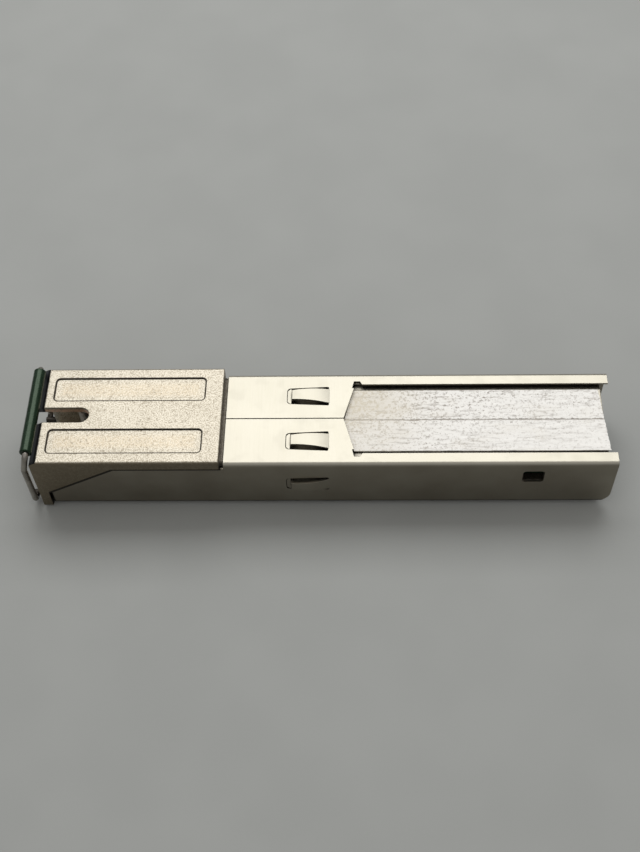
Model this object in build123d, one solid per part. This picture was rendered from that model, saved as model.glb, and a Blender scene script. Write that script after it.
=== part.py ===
from build123d import *
import os
from math import cos, radians, sin

# Pluggable passive-optical-network transceiver: a die-cast nose with a push-pull fibre port, a folded
# sheet-metal body that slides into a cage, a wire bail that works a latch under the nose, and the optics
# and circuit board inside. Millimetres. +X runs from the nose to the edge connector, +Z is up.
# The origin is on the middle of the bottom face, at the stop plane where the nose meets the cage.

# Cage part of the body
BODY_W = 13.5
BODY_H = 8.5
BODY_L = 47.3
SHEET = 0.25
FOLD_R = 0.5
SEAM = 0.12
REAR_CORNER_R = 2.0
BOTTOM_OPEN_X = 37.1
BELLY_RAIL = 1.45

# Nose casting
NOSE_PROUD = 0.3
NOSE_ROOF_T = 0.95
NOSE_L = 22.25
NOSE_LEAN = 0.4
NOSE_BEVEL = 0.5
NOSE_EDGE_R = 0.3
NOSE_REAR_R = 0.1
COLLAR_L = 0.42
COLLAR_DROP = 0.2
POCKET_FRONT = 1.45
POCKET_W = 3.35
POCKET_Y = 3.83
POCKET_REAR = 2.2
POCKET_DEPTH = 0.15
POCKET_R = 0.5

# Fibre port
PORT_W = 9.2
PORT_H = 7.5
PORT_FLOOR = 1.0
PORT_DEPTH = 14.2
PORT_LEAD = 0.35
KEYWAY_W = 2.2
KEYWAY_L = 6.1
OPTICS_HEADROOM = 0.35
BULKHEAD = 1.0

# Wings of the sheet along the sides of the nose
WING_BACK = 0.95
WING_LOW = 2.7
WING_SLOPE_END = 12.9
WING_TOP = 7.7
WING_GAP = 0.15
BELLY_BACK = 4.3

# Landing in the top of the sheet, with its relief notches
LANDING_TIP_X = 14.8
LANDING_CORNER_X = 16.1
RAIL_W = 1.67
GROOVE_W = 0.55
NOTCH_X = 15.84
NOTCH_L = 1.24
NOTCH_REACH = 0.47
NOTCH_SLOPE = 0.25
LANDING_DROP = 0.44
LANDING_BACK = 0.95
GROOVE_DEPTH = 0.9
PAD_T = 0.08
PAD_MARGIN = 0.06

# Grounding fingers cut from the sheet
FINGER_X = 7.85
FINGER_L = 5.15
FINGER_TIP_W = 2.3
FINGER_ROOT_W = 2.8
FINGER_TIP_GAP = 0.48
FINGER_ROOT_GAP = 0.37
FINGER_RISE = 0.46
FINGER_FOLD_RISE = 0.38
FINGER_LAP = 0.12
FINGER_Y = 3.32
FINGER_SIDE_Z = 4.33
SLOT_TIP_R = 0.45
SLOT_ROOT_R = 0.14
TOE_L = 0.64
TOE_STEP = 0.1
TOE_SINK = 0.06
TOE_GAP = 0.06
TOE_EASE = 0.3
FINGER_ROOM = 0.3
FINGER_ROOM_AHEAD = 0.2

# Snap windows in the sides of the sheet, each with a tab bent in behind its rear edge
SNAP_X = 37.5
SNAP_Z = 5.75
SNAP_L = 2.55
SNAP_H = 2.35
SNAP_R = 0.4
TAB_W = 1.5
TAB_REACH = 1.1
TAB_GAP = 0.1

# Tray and cover inside the sheet
FIT = 0.05
PARTING_Z = 4.7
WALL = 1.0
TRAY_FLOOR_T = 0.75
INNER_BACK = 0.4
COVER_ROOF_T = 0.65

# Bail
WIRE_D = 0.75
WIRE_BEND = 0.5
BAIL_TOP_AHEAD = 0.6
BAIL_TOP_RISE = 0.75
BAIL_KNEE_AHEAD = 1.35
BAIL_KNEE_DROP = 2.05
BAIL_FOOT_AHEAD = 1.4
BAIL_FOOT_Z = 0.55
BAIL_LEG_INSET = 0.45
BAIL_FOOT_W = 1.1
BAIL_AXIS_BACK = 1.25
BAIL_AXIS_Z = 0.75
BAIL_CLEAR = 0.12
JOURNAL_GAP = 0.05
JOURNAL_END_GAP = 0.15
SLEEVE_D = 1.5
SLEEVE_EASE = 0.12
SLEEVE_GAP = 0.03

# Latch lever, its pin and its spring
LEVER_T = 0.3
LEVER_Z = 0.05
LEVER_W = 5.0
LEVER_BACK = 0.28
LEVER_HEAD_L = 1.4
LEVER_REAR_X = 6.0
LEVER_GAP = 0.25
EAR_R = 0.6
EAR_GAP = 0.1
PIN_BACK = 2.05
PIN_Z = 0.95
PIN_D = 0.6
PIN_L = 9.0
PIN_GAP = 0.03
BOSS_X = 2.5
BOSS_L = 2.6
BOSS_W = 2.7
BOSS_PROUD = 0.45
BOSS_TIP_W = 0.5
CHANNEL_Z = 0.5
LATCH_ROOM_Z = 1.3
LATCH_WALL = 0.5
SPRING_T = 0.12
SPRING_W = 2.4
SPRING_BACK = 2.4
SPRING_L = 5.6

# Optics on the port axis
BORE_D = 2.52
CERAMIC_D = 3.3
CERAMIC_L = 5.6
CERAMIC_SLIT = 0.35
BARREL_D = 4.3
BARREL_REACH = 9.35
BARREL_LIP = 0.35
FLANGE_D = 5.4
FLANGE_L = 1.0
STUB_D = 1.9
OPTICS_D = 5.6
OPTICS_L = 5.8
OPTICS_FLAT = 0.35
HEADER_T = 1.1
LASER_D = 5.4
LASER_CAP_D = 4.4
LASER_CAP_L = 1.8
RECEIVER_BACK = 2.15
RECEIVER_D = 4.1
RECEIVER_CAP_D = 3.4
RECEIVER_CAP_L = 0.9
RECEIVER_HEADER_T = 0.7
HOOK_REACH = 10.65
HOOK_Y = 3.3
HOOK_T = 0.75
HOOK_W = 3.0
HOOK_BARB = 0.55
INSERT_T = 1.2
CLEAR = 0.05

# Circuit board
BOARD_T = 1.0
BOARD_Z = 2.25
BOARD_X = 5.2
BOARD_END = 44.3
BOARD_GAP = 0.2
TONGUE_X = 36.4
TONGUE_W = 9.2
LEDGE_W = 0.6
PAD_PITCH = 0.8
PAD_W = 0.55
PAD_L = 3.6
PAD_COUNT = 10
COPPER_T = 0.04
FLEX_T = 0.15
FLEX_W = 3.6
FLEX_RISE = 1.7
FLEX_BEND = 1.2
FLEX_LAND = 0.9
FLEX_FOOT = 1.4
LEAD_W = 0.35
LEAD_CIRCLE = 2.0
LEAD_L = 0.5

# Components on the board
SHIELD_X = 8.2
SHIELD_L = 5.8
SHIELD_W = 8.6
SHIELD_H = 1.9
SHIELD_T = 0.15
VENT = 0.6
VENT_PITCH = 1.7
DRIVER_SIZE = (3.4, 3.4, 0.85)
CONTROLLER_X = 18.6
CONTROLLER_SIZE = (8.0, 8.0, 0.95)
HEAT_PAD_T = 0.8
HEAT_PAD_INSET = 0.3
FLASH_X = 28.4
FLASH_Y = 1.2
FLASH_SIZE = (3.8, 5.0, 0.8)
CRYSTAL_X = 29.0
CRYSTAL_Y = -2.6
CRYSTAL_SIZE = (2.5, 2.0, 0.7)
INDUCTOR_X = 33.0
INDUCTOR_Y = 1.9
INDUCTOR_SIZE = (2.8, 2.8, 1.4)
CAPACITOR_X = 15.2
CAPACITOR_SIZE = (0.8, 0.5, 0.45)
CAPACITOR_PITCH = (1.4, 1.5)
SOLDER = 0.01

# Sizes and places that follow from the ones above
OUTER_Y = BODY_W / 2
INNER_Y = OUTER_Y - SHEET - FIT
INNER_TOP = BODY_H - SHEET - FIT
INNER_END = BODY_L - INNER_BACK
CAVITY_Y = INNER_Y - WALL
BOTTOM_OPEN_W = BODY_W - 2 * BELLY_RAIL
NOSE_W = BODY_W + 2 * NOSE_PROUD
NOSE_TOP = PORT_FLOOR + PORT_H + NOSE_ROOF_T
POCKET_L = NOSE_L - POCKET_FRONT - POCKET_REAR
PORT_Z = PORT_FLOOR + PORT_H / 2
PORT_END = -NOSE_L + PORT_DEPTH
WING_FRONT = NOSE_L - WING_BACK
BELLY_FRONT = WING_FRONT - BELLY_BACK
RAIL_GAP_W = BODY_W - 2 * RAIL_W
LANDING_W = RAIL_GAP_W - 2 * GROOVE_W
NOTCH_W = RAIL_GAP_W + 2 * NOTCH_REACH
LANDING_Z = BODY_H - LANDING_DROP
LANDING_END = BODY_L - LANDING_BACK
BAIL_TOP_X = -NOSE_L - BAIL_TOP_AHEAD
BAIL_TOP_Z = NOSE_TOP + BAIL_TOP_RISE
BAIL_KNEE_X = -NOSE_L - BAIL_KNEE_AHEAD
BAIL_KNEE_Z = NOSE_TOP - BAIL_KNEE_DROP
BAIL_FRONT_X = -NOSE_L - BAIL_FOOT_AHEAD
BAIL_LEG_Y = NOSE_W / 2 - BAIL_LEG_INSET
BAIL_RUN_Y = BAIL_LEG_Y - BAIL_FOOT_W
BAIL_AXIS_X = -NOSE_L + BAIL_AXIS_BACK
JOURNAL_END_Y = OUTER_Y - SHEET - JOURNAL_END_GAP
SLEEVE_L = 2 * (BAIL_LEG_Y - WIRE_BEND)
LEVER_FRONT_X = BAIL_AXIS_X + LEVER_BACK
PIN_X = PORT_END + PIN_BACK
SPRING_X = PIN_X + SPRING_BACK
OPTICS_X = PORT_END + BULKHEAD
OPTICS_W = 2 * (CAVITY_Y - CLEAR)
OPTICS_FLOOR = PORT_Z - OPTICS_D / 2 - CLEAR
OPTICS_ROOF = PORT_Z + OPTICS_D / 2 + OPTICS_HEADROOM
OPTICS_BLOCK_X = OPTICS_X + CLEAR + FLANGE_L
BARREL_TIP_X = PORT_END - BARREL_REACH
SLEEVE_X = BARREL_TIP_X + BARREL_LIP
HOOK_TIP_X = PORT_END - HOOK_REACH
LASER_X = OPTICS_BLOCK_X + OPTICS_L
RECEIVER_X = OPTICS_BLOCK_X + RECEIVER_BACK
FLAT_Y = OPTICS_D / 2 - OPTICS_FLAT
BOARD_TOP = BOARD_Z + BOARD_T
BOARD_W = 2 * (CAVITY_Y - BOARD_GAP)
HEAT_PAD_Z = BOARD_TOP + CONTROLLER_SIZE[2] + SOLDER


def block(x, y, z):
    """Box between a low and a high limit along each axis."""
    spans = (x, y, z)
    centre = [(low + high) / 2 for low, high in spans]
    return Pos(*centre) * Box(*[high - low for low, high in spans])


def wide(x, width, z):
    """Box centred on y = 0."""
    return block(x, (-width / 2, width / 2), z)


def side_prism(points, y):
    """Prism from an outline in x and z, between two values of y."""
    outline = Polyline(*[(px, y[0], pz) for px, pz in points], close=True)
    return extrude(make_face(outline), amount=y[1] - y[0], dir=(0, 1, 0))


def plan_prism(points, z):
    """Prism from an outline in x and y, between two values of z."""
    outline = Polyline(*[(px, py, z[0]) for px, py in points], close=True)
    return extrude(make_face(outline), amount=z[1] - z[0], dir=(0, 0, 1))


def rod_x(x, diameter, y=0.0, z=PORT_Z):
    """Cylinder along X between two values of x."""
    length = x[1] - x[0]
    return Pos((x[0] + x[1]) / 2, y, z) * Rot(0, 90, 0) * Cylinder(diameter / 2, length)


def rod_y(y, diameter, x, z):
    """Cylinder along Y between two values of y."""
    length = y[1] - y[0]
    return Pos(x, (y[0] + y[1]) / 2, z) * Rot(90, 0, 0) * Cylinder(diameter / 2, length)


def both(shape):
    """A shape and its mirror image across the middle plane."""
    return shape + mirror(shape, Plane.XZ)


def section_x(x, width, z, radius):
    """Bar along X with a rounded rectangular section that stands on z[0]."""
    height = z[1] - z[0]
    outline = Plane.YZ.offset(x[0]) * Pos(0, z[0] + height / 2) * RectangleRounded(width, height, radius)
    return extrude(outline, amount=x[1] - x[0])


def nose_form():
    """Outer form of the nose: a leaning front face, a bevelled brow and rounded long edges."""
    brow_z = NOSE_TOP - NOSE_BEVEL
    outline = [
        (0, 0),
        (0, NOSE_TOP),
        (NOSE_BEVEL - NOSE_L, NOSE_TOP),
        (-NOSE_L, brow_z),
        (-NOSE_L - NOSE_LEAN, 0),
    ]
    form = side_prism(outline, (-NOSE_W / 2, NOSE_W / 2))
    long_edges = form.edges().filter_by(Axis.X).group_by(Axis.Z)[-1]
    form = fillet(long_edges, NOSE_EDGE_R)
    rear_edge = form.edges().filter_by(Axis.Y).group_by(Axis.X)[-1].sort_by(Axis.Z)[-1]
    return fillet(rear_edge, NOSE_REAR_R)


def top_pockets():
    """Two shallow pockets with rounded corners in the top of the nose."""
    z = NOSE_TOP - POCKET_DEPTH / 2
    x = -POCKET_REAR - POCKET_L / 2
    outline = Pos(x, POCKET_Y, z - POCKET_DEPTH / 2) * RectangleRounded(POCKET_L, POCKET_W, POCKET_R)
    return both(extrude(outline, amount=2 * POCKET_DEPTH))


def port_space():
    """Fibre port with its flared mouth, and the key slot through the roof."""
    mouth_x = -NOSE_L - 2 * NOSE_LEAN
    lead_x = -NOSE_L + PORT_LEAD
    port = section_x((mouth_x, PORT_END), PORT_W, (PORT_FLOOR, PORT_FLOOR + PORT_H), 0.3)
    flare_in = Plane.YZ.offset(lead_x) * Pos(0, PORT_Z) * RectangleRounded(PORT_W, PORT_H, 0.3)
    growth = 2 * (lead_x - mouth_x)
    flare_out = Plane.YZ.offset(mouth_x) * Pos(0, PORT_Z - 0.15) * RectangleRounded(
        PORT_W + growth / 2, PORT_H + 0.3, 0.3
    )
    port += loft([flare_out.face(), flare_in.face()])
    key_end = -NOSE_L + KEYWAY_L - KEYWAY_W / 2
    key_z = (PORT_Z, NOSE_TOP + 1)
    port += wide((mouth_x, key_end), KEYWAY_W, key_z)
    port += Pos(key_end, 0, sum(key_z) / 2) * Cylinder(KEYWAY_W / 2, key_z[1] - key_z[0])
    return port


def wing_outline(gap=0.0):
    """Side outline of a wing of the sheet, grown by a gap where the nose makes room for it."""
    return [
        (-WING_FRONT - gap, -1),
        (-WING_FRONT - gap, WING_LOW + gap / 2),
        (-WING_SLOPE_END - gap / 2, WING_TOP + gap),
        (1, WING_TOP + gap),
        (1, -1),
    ]


def wing_recess():
    """What the folded sheet takes from the sides and belly of the nose, with its clearance."""
    front = -WING_FRONT - WING_GAP
    taken = side_prism(wing_outline(WING_GAP), (-NOSE_W, NOSE_W))
    taken -= section_x((front - 1, 2), 2 * (INNER_Y + FIT), (SHEET + FIT / 2, 2 * NOSE_TOP), FOLD_R)
    chin = (front - 1, -BELLY_FRONT - WING_GAP)
    return taken - wide(chin, BODY_W - 2 * (FOLD_R + WING_GAP), (-2, FOLD_R))


def latch_space():
    """Room under the nose for the lever, its head, its ears and the bail's ends."""
    head = (LEVER_FRONT_X - LEVER_T, LEVER_FRONT_X + LEVER_HEAD_L + LEVER_GAP)
    head_y = BAIL_RUN_Y + WIRE_D / 2 + BAIL_CLEAR
    slot_y = BAIL_RUN_Y - WIRE_D / 2 - BAIL_CLEAR
    channel_w = LEVER_W + 2 * LEVER_GAP
    room = wide((head[0], LEVER_REAR_X + LEVER_GAP), channel_w, (-1, CHANNEL_Z))
    room += wide(head, 2 * head_y, (-1, CHANNEL_Z))
    room += wide((SPRING_X - LEVER_GAP, LEVER_REAR_X + LEVER_GAP), channel_w, (-1, LATCH_ROOM_Z))
    ear = EAR_R + EAR_GAP
    room += wide((PIN_X - ear, PIN_X + ear), channel_w, (-1, PIN_Z + ear))
    slot_top = BAIL_AXIS_Z + WIRE_D / 2 + BAIL_CLEAR
    slot_x = (-NOSE_L - 1, BAIL_AXIS_X + WIRE_D / 2 + BAIL_CLEAR)
    slot = block(slot_x, (slot_y, head_y), (-1, slot_top))
    journal_d = WIRE_D + 2 * JOURNAL_GAP
    slot += rod_y((head_y - 0.1, JOURNAL_END_Y + 0.1), journal_d, BAIL_AXIS_X, BAIL_AXIS_Z)
    room += both(slot)
    room += rod_y((-PIN_L / 2, PIN_L / 2), PIN_D, PIN_X, PIN_Z)
    return room


def rear_trim(inset=0.0):
    """Cutter that rounds the lower rear corner of everything that ends at the back."""
    end = BODY_L - inset
    start = end - REAR_CORNER_R
    top = inset + REAR_CORNER_R
    corner = block((start, BODY_L + 1), (-BODY_W, BODY_W), (-1, top))
    return corner - rod_y((-BODY_W - 1, BODY_W + 1), 2 * REAR_CORNER_R, start, top)


def nose_housing():
    """One casting: the nose with its port, and the tray behind it that carries the board."""
    body = nose_form() - top_pockets() - port_space()
    body -= wing_recess()
    collar_top = BODY_H - COLLAR_DROP
    body += section_x((-0.5, COLLAR_L), 2 * INNER_Y, (SHEET + FIT, collar_top), FOLD_R)
    floor_z = SHEET + FIT
    tray = section_x((0, INNER_END), 2 * INNER_Y, (floor_z, INNER_TOP), FOLD_R - SHEET)
    tray -= wide((COLLAR_L, INNER_END + 1), BODY_W, (PARTING_Z, BODY_H))
    tray -= wide((-1, COLLAR_L), BODY_W, (OPTICS_ROOF, OPTICS_ROOF + BODY_H))
    tray -= wide((-1, INNER_END + 1), 2 * CAVITY_Y, (floor_z + TRAY_FLOOR_T, BODY_H))
    ledge_x = (BOARD_X - 0.5, TONGUE_X - 0.4)
    ledge = block(ledge_x, (CAVITY_Y - LEDGE_W, CAVITY_Y + 0.1), (floor_z, BOARD_Z - FIT / 2))
    body += tray + both(ledge)
    body += wide((0, LEVER_REAR_X + 1.4), 2 * CAVITY_Y + 0.1, (floor_z, LATCH_ROOM_Z + LATCH_WALL))
    body -= wide((OPTICS_X, COLLAR_L + 0.1), OPTICS_W, (OPTICS_FLOOR, OPTICS_ROOF))
    body -= rod_x((PORT_END - 1, OPTICS_X + 1), BARREL_D + 2 * CLEAR)
    body -= wide((BOTTOM_OPEN_X, INNER_END + 1), BOTTOM_OPEN_W, (-1, OPTICS_FLOOR))
    body -= latch_space()
    body -= finger_room()
    body -= snap_room()
    return body - rear_trim(SHEET + FIT)


def finger_room():
    """Shallow pockets behind the fingers, so that each can be pressed in."""
    reach = SHEET + FIT + FINGER_ROOM
    pocket = wide((FINGER_X - FINGER_ROOM_AHEAD, FINGER_X + FINGER_L), FINGER_ROOT_W, (-reach, 0))
    return Part() + [place * pocket for place in finger_places()]


def snap_room():
    """Openings through the walls behind the snap windows, long enough for the sheet's bent tabs."""
    x = (SNAP_X - SNAP_L / 2, SNAP_X + SNAP_L / 2 + SHEET + TAB_GAP)
    z = (SNAP_Z - SNAP_H / 2, SNAP_Z + SNAP_H / 2)
    return both(block(x, (CAVITY_Y - FIT, OUTER_Y), z))


def top_cover():
    """Inner lid: side walls that meet the tray, and the landing with a groove along each side."""
    x = (COLLAR_L + FIT, INNER_END)
    cover = section_x(x, 2 * INNER_Y, (PARTING_Z - 2, INNER_TOP), FOLD_R - SHEET)
    cover -= wide(x, 2 * OUTER_Y, (0, PARTING_Z + FIT))
    cover -= wide((-1, INNER_END + 1), 2 * CAVITY_Y, (0, INNER_TOP - COVER_ROOF_T))
    tip = LANDING_TIP_X - FIT
    corner = LANDING_CORNER_X - FIT
    half = LANDING_W / 2
    end = INNER_END + 1
    landing = [(tip, 0), (corner, half), (end, half), (end, -half), (corner, -half)]
    cover -= plan_prism(landing, (LANDING_Z - PAD_T, BODY_H))
    groove_y = (half, NOTCH_W / 2 - 0.2)
    cover -= both(block((NOTCH_X, end), groove_y, (INNER_TOP - GROOVE_DEPTH * 0.5, BODY_H)))
    spreader_x = (CONTROLLER_X, CONTROLLER_X + CONTROLLER_SIZE[0])
    cover += wide(spreader_x, CONTROLLER_SIZE[1], (HEAT_PAD_Z + HEAT_PAD_T + SOLDER, LANDING_Z - PAD_T))
    cover -= wide((LANDING_END, end), 2 * CAVITY_Y, (PARTING_Z, BODY_H))
    cover -= snap_room()
    return cover - finger_room()


def finger_slot():
    """Slot that frees a finger from the sheet, as a cutter about the plane z = 0."""
    front, root = FINGER_X, FINGER_X + FINGER_L
    tip, wide_end = FINGER_TIP_W / 2, FINGER_ROOT_W / 2
    cutter = plan_prism([(front, -tip), (root, -wide_end), (root, wide_end), (front, tip)], (-1, 1))
    corners = cutter.edges().filter_by(Axis.Z).group_by(Axis.X)
    cutter = fillet(corners[0], SLOT_TIP_R)
    return fillet(cutter.edges().filter_by(Axis.Z).group_by(Axis.X)[-1], SLOT_ROOT_R)


def finger():
    """One grounding finger on the plane z = 0: an arched strip with a flat toe that dips under the slot."""
    fold, root = FINGER_X + TOE_L, FINGER_X + FINGER_L
    crown = (fold + root) / 2
    start = root + FINGER_LAP
    toe, step = FINGER_X + TOE_GAP, fold - TOE_STEP
    top = ThreePointArc((start, 0, 0), (crown, 0, FINGER_RISE), (fold, 0, FINGER_FOLD_RISE))
    foot = Polyline(
        (fold, 0, FINGER_FOLD_RISE),
        (step, 0, -TOE_SINK),
        (toe, 0, -TOE_SINK),
        (toe, 0, -TOE_SINK - SHEET),
        (step + SHEET, 0, -TOE_SINK - SHEET),
        (fold + SHEET, 0, FINGER_FOLD_RISE - SHEET),
    )
    under = ThreePointArc(
        (fold + SHEET, 0, FINGER_FOLD_RISE - SHEET),
        (crown, 0, FINGER_RISE - SHEET),
        (start, 0, -SHEET),
    )
    end = Line((start, 0, -SHEET), (start, 0, 0))
    strip = extrude(make_face([top, foot, under, end]), amount=FINGER_ROOT_W / 2, both=True)
    tip = FINGER_TIP_W / 2 - TOE_GAP
    fold_y = FINGER_TIP_W / 2 - FINGER_TIP_GAP
    root_y = FINGER_ROOT_W / 2 - FINGER_ROOT_GAP
    side = [(toe, tip - TOE_EASE), (toe + TOE_EASE, tip), (step, tip)]
    side += [(step, fold_y), (root, root_y), (start, root_y)]
    return strip & plan_prism(side + [(x, -y) for x, y in reversed(side)], (-1, 1))


def finger_places():
    """Where each finger's plane lies: two on top, two below and one on each side."""
    places = [Pos(0, y, BODY_H) for y in (-FINGER_Y, FINGER_Y)]
    places += [Pos(0, y, 0) * Rot(180, 0, 0) for y in (-FINGER_Y, FINGER_Y)]
    places += [Pos(0, OUTER_Y, FINGER_SIDE_Z) * Rot(-90, 0, 0)]
    places += [Pos(0, -OUTER_Y, FINGER_SIDE_Z) * Rot(90, 0, 0)]
    return places


def landing_cut():
    """Opening in the top of the sheet: a pointed front, two relief notches and the gap between the rails."""
    half = LANDING_W / 2
    rail = RAIL_GAP_W / 2
    notch = NOTCH_W / 2
    side = [
        (LANDING_CORNER_X - 0.02, half),
        (NOTCH_X, half),
        (NOTCH_X + NOTCH_SLOPE, notch),
        (NOTCH_X + NOTCH_L - NOTCH_SLOPE, notch),
        (NOTCH_X + NOTCH_L, rail),
        (BODY_L + 1, rail),
    ]
    outline = [(LANDING_TIP_X, 0)] + side + [(x, -y) for x, y in reversed(side)]
    return plan_prism(outline, (INNER_TOP - 0.1, BODY_H + 1))


def shell():
    """The folded sheet: belly, sides, wings and top flanges that meet in a seam, with its fingers."""
    x = (-WING_FRONT, BODY_L)
    sheet = section_x(x, BODY_W, (0, BODY_H), FOLD_R)
    sheet -= section_x((x[0] - 1, x[1] + 1), BODY_W - 2 * SHEET, (SHEET, BODY_H - SHEET), FOLD_R - SHEET)
    front = COLLAR_L + 0.06
    sheet -= wide((x[0] - 1, front), BODY_W + 1, (WING_TOP, BODY_H + 1))
    above_wing = [(-WING_FRONT - 1, WING_LOW), (-WING_FRONT, WING_LOW), (-WING_SLOPE_END, WING_TOP)]
    above_wing += [(-WING_SLOPE_END, BODY_H + 1), (-WING_FRONT - 1, BODY_H + 1)]
    sheet -= side_prism(above_wing, (-BODY_W, BODY_W))
    sheet -= wide((x[0] - 1, -BELLY_FRONT), BODY_W - 2 * FOLD_R, (-1, SHEET + 0.1))
    sheet -= wide((x[0] - 1, LEVER_REAR_X + 2 * LEVER_GAP), LEVER_W + 4 * LEVER_GAP, (-1, SHEET + 0.1))
    sheet -= wide((BOTTOM_OPEN_X, BODY_L + 1), BOTTOM_OPEN_W, (-1, SHEET + 0.1))
    sheet -= wide((0, BODY_L), SEAM, (BODY_H - 1, BODY_H + 1))
    sheet -= landing_cut()
    window = Plane.XZ * Pos(SNAP_X, SNAP_Z) * RectangleRounded(SNAP_L, SNAP_H, SNAP_R)
    sheet -= extrude(window, amount=BODY_W, both=True)
    for place in finger_places():
        sheet -= place * finger_slot()
    for place in finger_places():
        sheet += place * finger()
    tab_x = (SNAP_X + SNAP_L / 2, SNAP_X + SNAP_L / 2 + SHEET)
    tab_z = (SNAP_Z - TAB_W / 2, SNAP_Z + TAB_W / 2)
    sheet += both(block(tab_x, (OUTER_Y - TAB_REACH, OUTER_Y - SHEET / 2), tab_z))
    return sheet - rear_trim()


def label_pad():
    """Blank label left on the landing: pointed front, straight sides, a torn rear edge."""
    half = LANDING_W / 2 - PAD_MARGIN
    tip, corner = LANDING_TIP_X + PAD_MARGIN, LANDING_CORNER_X + PAD_MARGIN
    end = BODY_L - 0.55
    torn = [(0.0, -half), (-0.12, -3.2), (-0.3, -1.9), (-0.36, -0.4)]
    torn += [(-0.5, 0.9), (-0.52, 2.6), (-0.62, half)]
    outline = [(tip, 0), (corner, -half)] + [(end + dx, y) for dx, y in torn] + [(corner, half)]
    return plan_prism(outline, (LANDING_Z - PAD_T, LANDING_Z))


def bent_wire(path):
    """Round wire along a path: a straight rod for each run and part of a ring for each arc."""
    wire = Part()
    for edge in path.edges():
        start, end = edge % 0, edge % 1
        section = Plane(origin=edge @ 0, z_dir=start) * Circle(WIRE_D / 2)
        if edge.geom_type == GeomType.CIRCLE:
            centre = Axis(edge.arc_center, start.cross(end))
            wire += revolve(section, centre, revolution_arc=start.get_angle(end))
        else:
            wire += extrude(section, amount=edge.length)
    return wire


def bail_wire():
    """Wire bail: a top bar, two kneed legs, and feet that turn in, back and out to the journals."""
    leg = [
        (BAIL_TOP_X, -0.01, BAIL_TOP_Z),
        (BAIL_TOP_X, BAIL_LEG_Y, BAIL_TOP_Z),
        (BAIL_KNEE_X, BAIL_LEG_Y, BAIL_KNEE_Z),
        (BAIL_FRONT_X, BAIL_LEG_Y, BAIL_FOOT_Z),
        (BAIL_FRONT_X, BAIL_RUN_Y, BAIL_FOOT_Z),
    ]
    half = bent_wire(FilletPolyline(*leg, radius=WIRE_BEND))
    run = Line((BAIL_FRONT_X - WIRE_D / 2, BAIL_RUN_Y, BAIL_FOOT_Z), (BAIL_AXIS_X, BAIL_RUN_Y, BAIL_AXIS_Z))
    half += bent_wire(run)
    half += rod_y((BAIL_RUN_Y - WIRE_D / 2, JOURNAL_END_Y), WIRE_D, BAIL_AXIS_X, BAIL_AXIS_Z)
    return both(half)


def bail_sleeve():
    """Soft tube on the bail's top bar."""
    half = SLEEVE_L / 2
    tube = rod_y((-half, half), SLEEVE_D, BAIL_TOP_X, BAIL_TOP_Z)
    tube = chamfer(tube.edges().filter_by(GeomType.CIRCLE), SLEEVE_EASE)
    return tube - rod_y((-half - 1, half + 1), WIRE_D + 2 * SLEEVE_GAP, BAIL_TOP_X, BAIL_TOP_Z)


def latch_lever():
    """Flat lever with a wide head under the bail's feet, two ears on the pin and the latch boss."""
    z = (LEVER_Z, LEVER_Z + LEVER_T)
    head_w = 2 * (BAIL_RUN_Y + WIRE_D / 2)
    lever = wide((LEVER_FRONT_X, LEVER_FRONT_X + LEVER_HEAD_L), head_w, z)
    lever += wide((LEVER_FRONT_X, LEVER_REAR_X), LEVER_W, z)
    ear_y = (LEVER_W / 2 - LEVER_T, LEVER_W / 2)
    ear = rod_y(ear_y, 2 * EAR_R, PIN_X, PIN_Z)
    ear += block((PIN_X - EAR_R, PIN_X + EAR_R), ear_y, (z[0], PIN_Z))
    lever += both(ear)
    boss_end = BOSS_X + BOSS_L
    wedge = [
        (BOSS_X, -BOSS_PROUD),
        (BOSS_X + 0.9, -BOSS_PROUD),
        (boss_end, z[0]),
        (boss_end, z[1]),
        (BOSS_X, z[1]),
    ]
    wide_half, tip_half = BOSS_W / 2, BOSS_TIP_W / 2
    plan = [(BOSS_X, -wide_half), (boss_end, -tip_half), (boss_end, tip_half), (BOSS_X, wide_half)]
    lever += side_prism(wedge, (-BOSS_W / 2, BOSS_W / 2)) & plan_prism(plan, (-1, 1))
    return lever - rod_y((-LEVER_W, LEVER_W), PIN_D + 2 * PIN_GAP, PIN_X, PIN_Z)


def latch_pin():
    """Pin pressed across the casting, on which the lever rocks."""
    return rod_y((-PIN_L / 2, PIN_L / 2), PIN_D, PIN_X, PIN_Z)


def latch_spring():
    """Leaf spring between the casting and the rear arm of the lever."""
    top = LATCH_ROOM_Z
    low = LEVER_Z + LEVER_T + 0.02
    mid = SPRING_X + SPRING_L * 0.35
    end = SPRING_X + SPRING_L
    leaf = [
        (SPRING_X, top),
        (mid, top),
        (end - 0.5, low + SPRING_T),
        (end, low + SPRING_T + 0.15),
        (end, low + 0.15),
        (end - 0.5, low),
        (mid, top - SPRING_T),
        (SPRING_X, top - SPRING_T),
    ]
    return side_prism(leaf, (-SPRING_W / 2, SPRING_W / 2))


def port_insert():
    """Plastic insert at the back of the port with its two barbed hooks."""
    margin = 0.04
    plate = section_x((PORT_END - INSERT_T, PORT_END - margin), PORT_W - 2 * margin,
                      (PORT_FLOOR + margin, PORT_FLOOR + PORT_H - margin), 0.3)
    plate -= rod_x((PORT_END - 2 * INSERT_T, PORT_END + 1), BARREL_D + 2 * CLEAR)
    inner, outer = HOOK_Y - HOOK_T / 2, HOOK_Y + HOOK_T / 2
    arm = [
        (PORT_END - INSERT_T + 0.1, inner),
        (HOOK_TIP_X + 1.3, inner),
        (HOOK_TIP_X + 1.1, inner - HOOK_BARB),
        (HOOK_TIP_X + 0.8, inner - HOOK_BARB),
        (HOOK_TIP_X, outer - 0.35),
        (HOOK_TIP_X, outer),
        (PORT_END - INSERT_T + 0.1, outer),
    ]
    return plate + both(plan_prism(arm, (PORT_Z - HOOK_W / 2, PORT_Z + HOOK_W / 2)))


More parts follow.
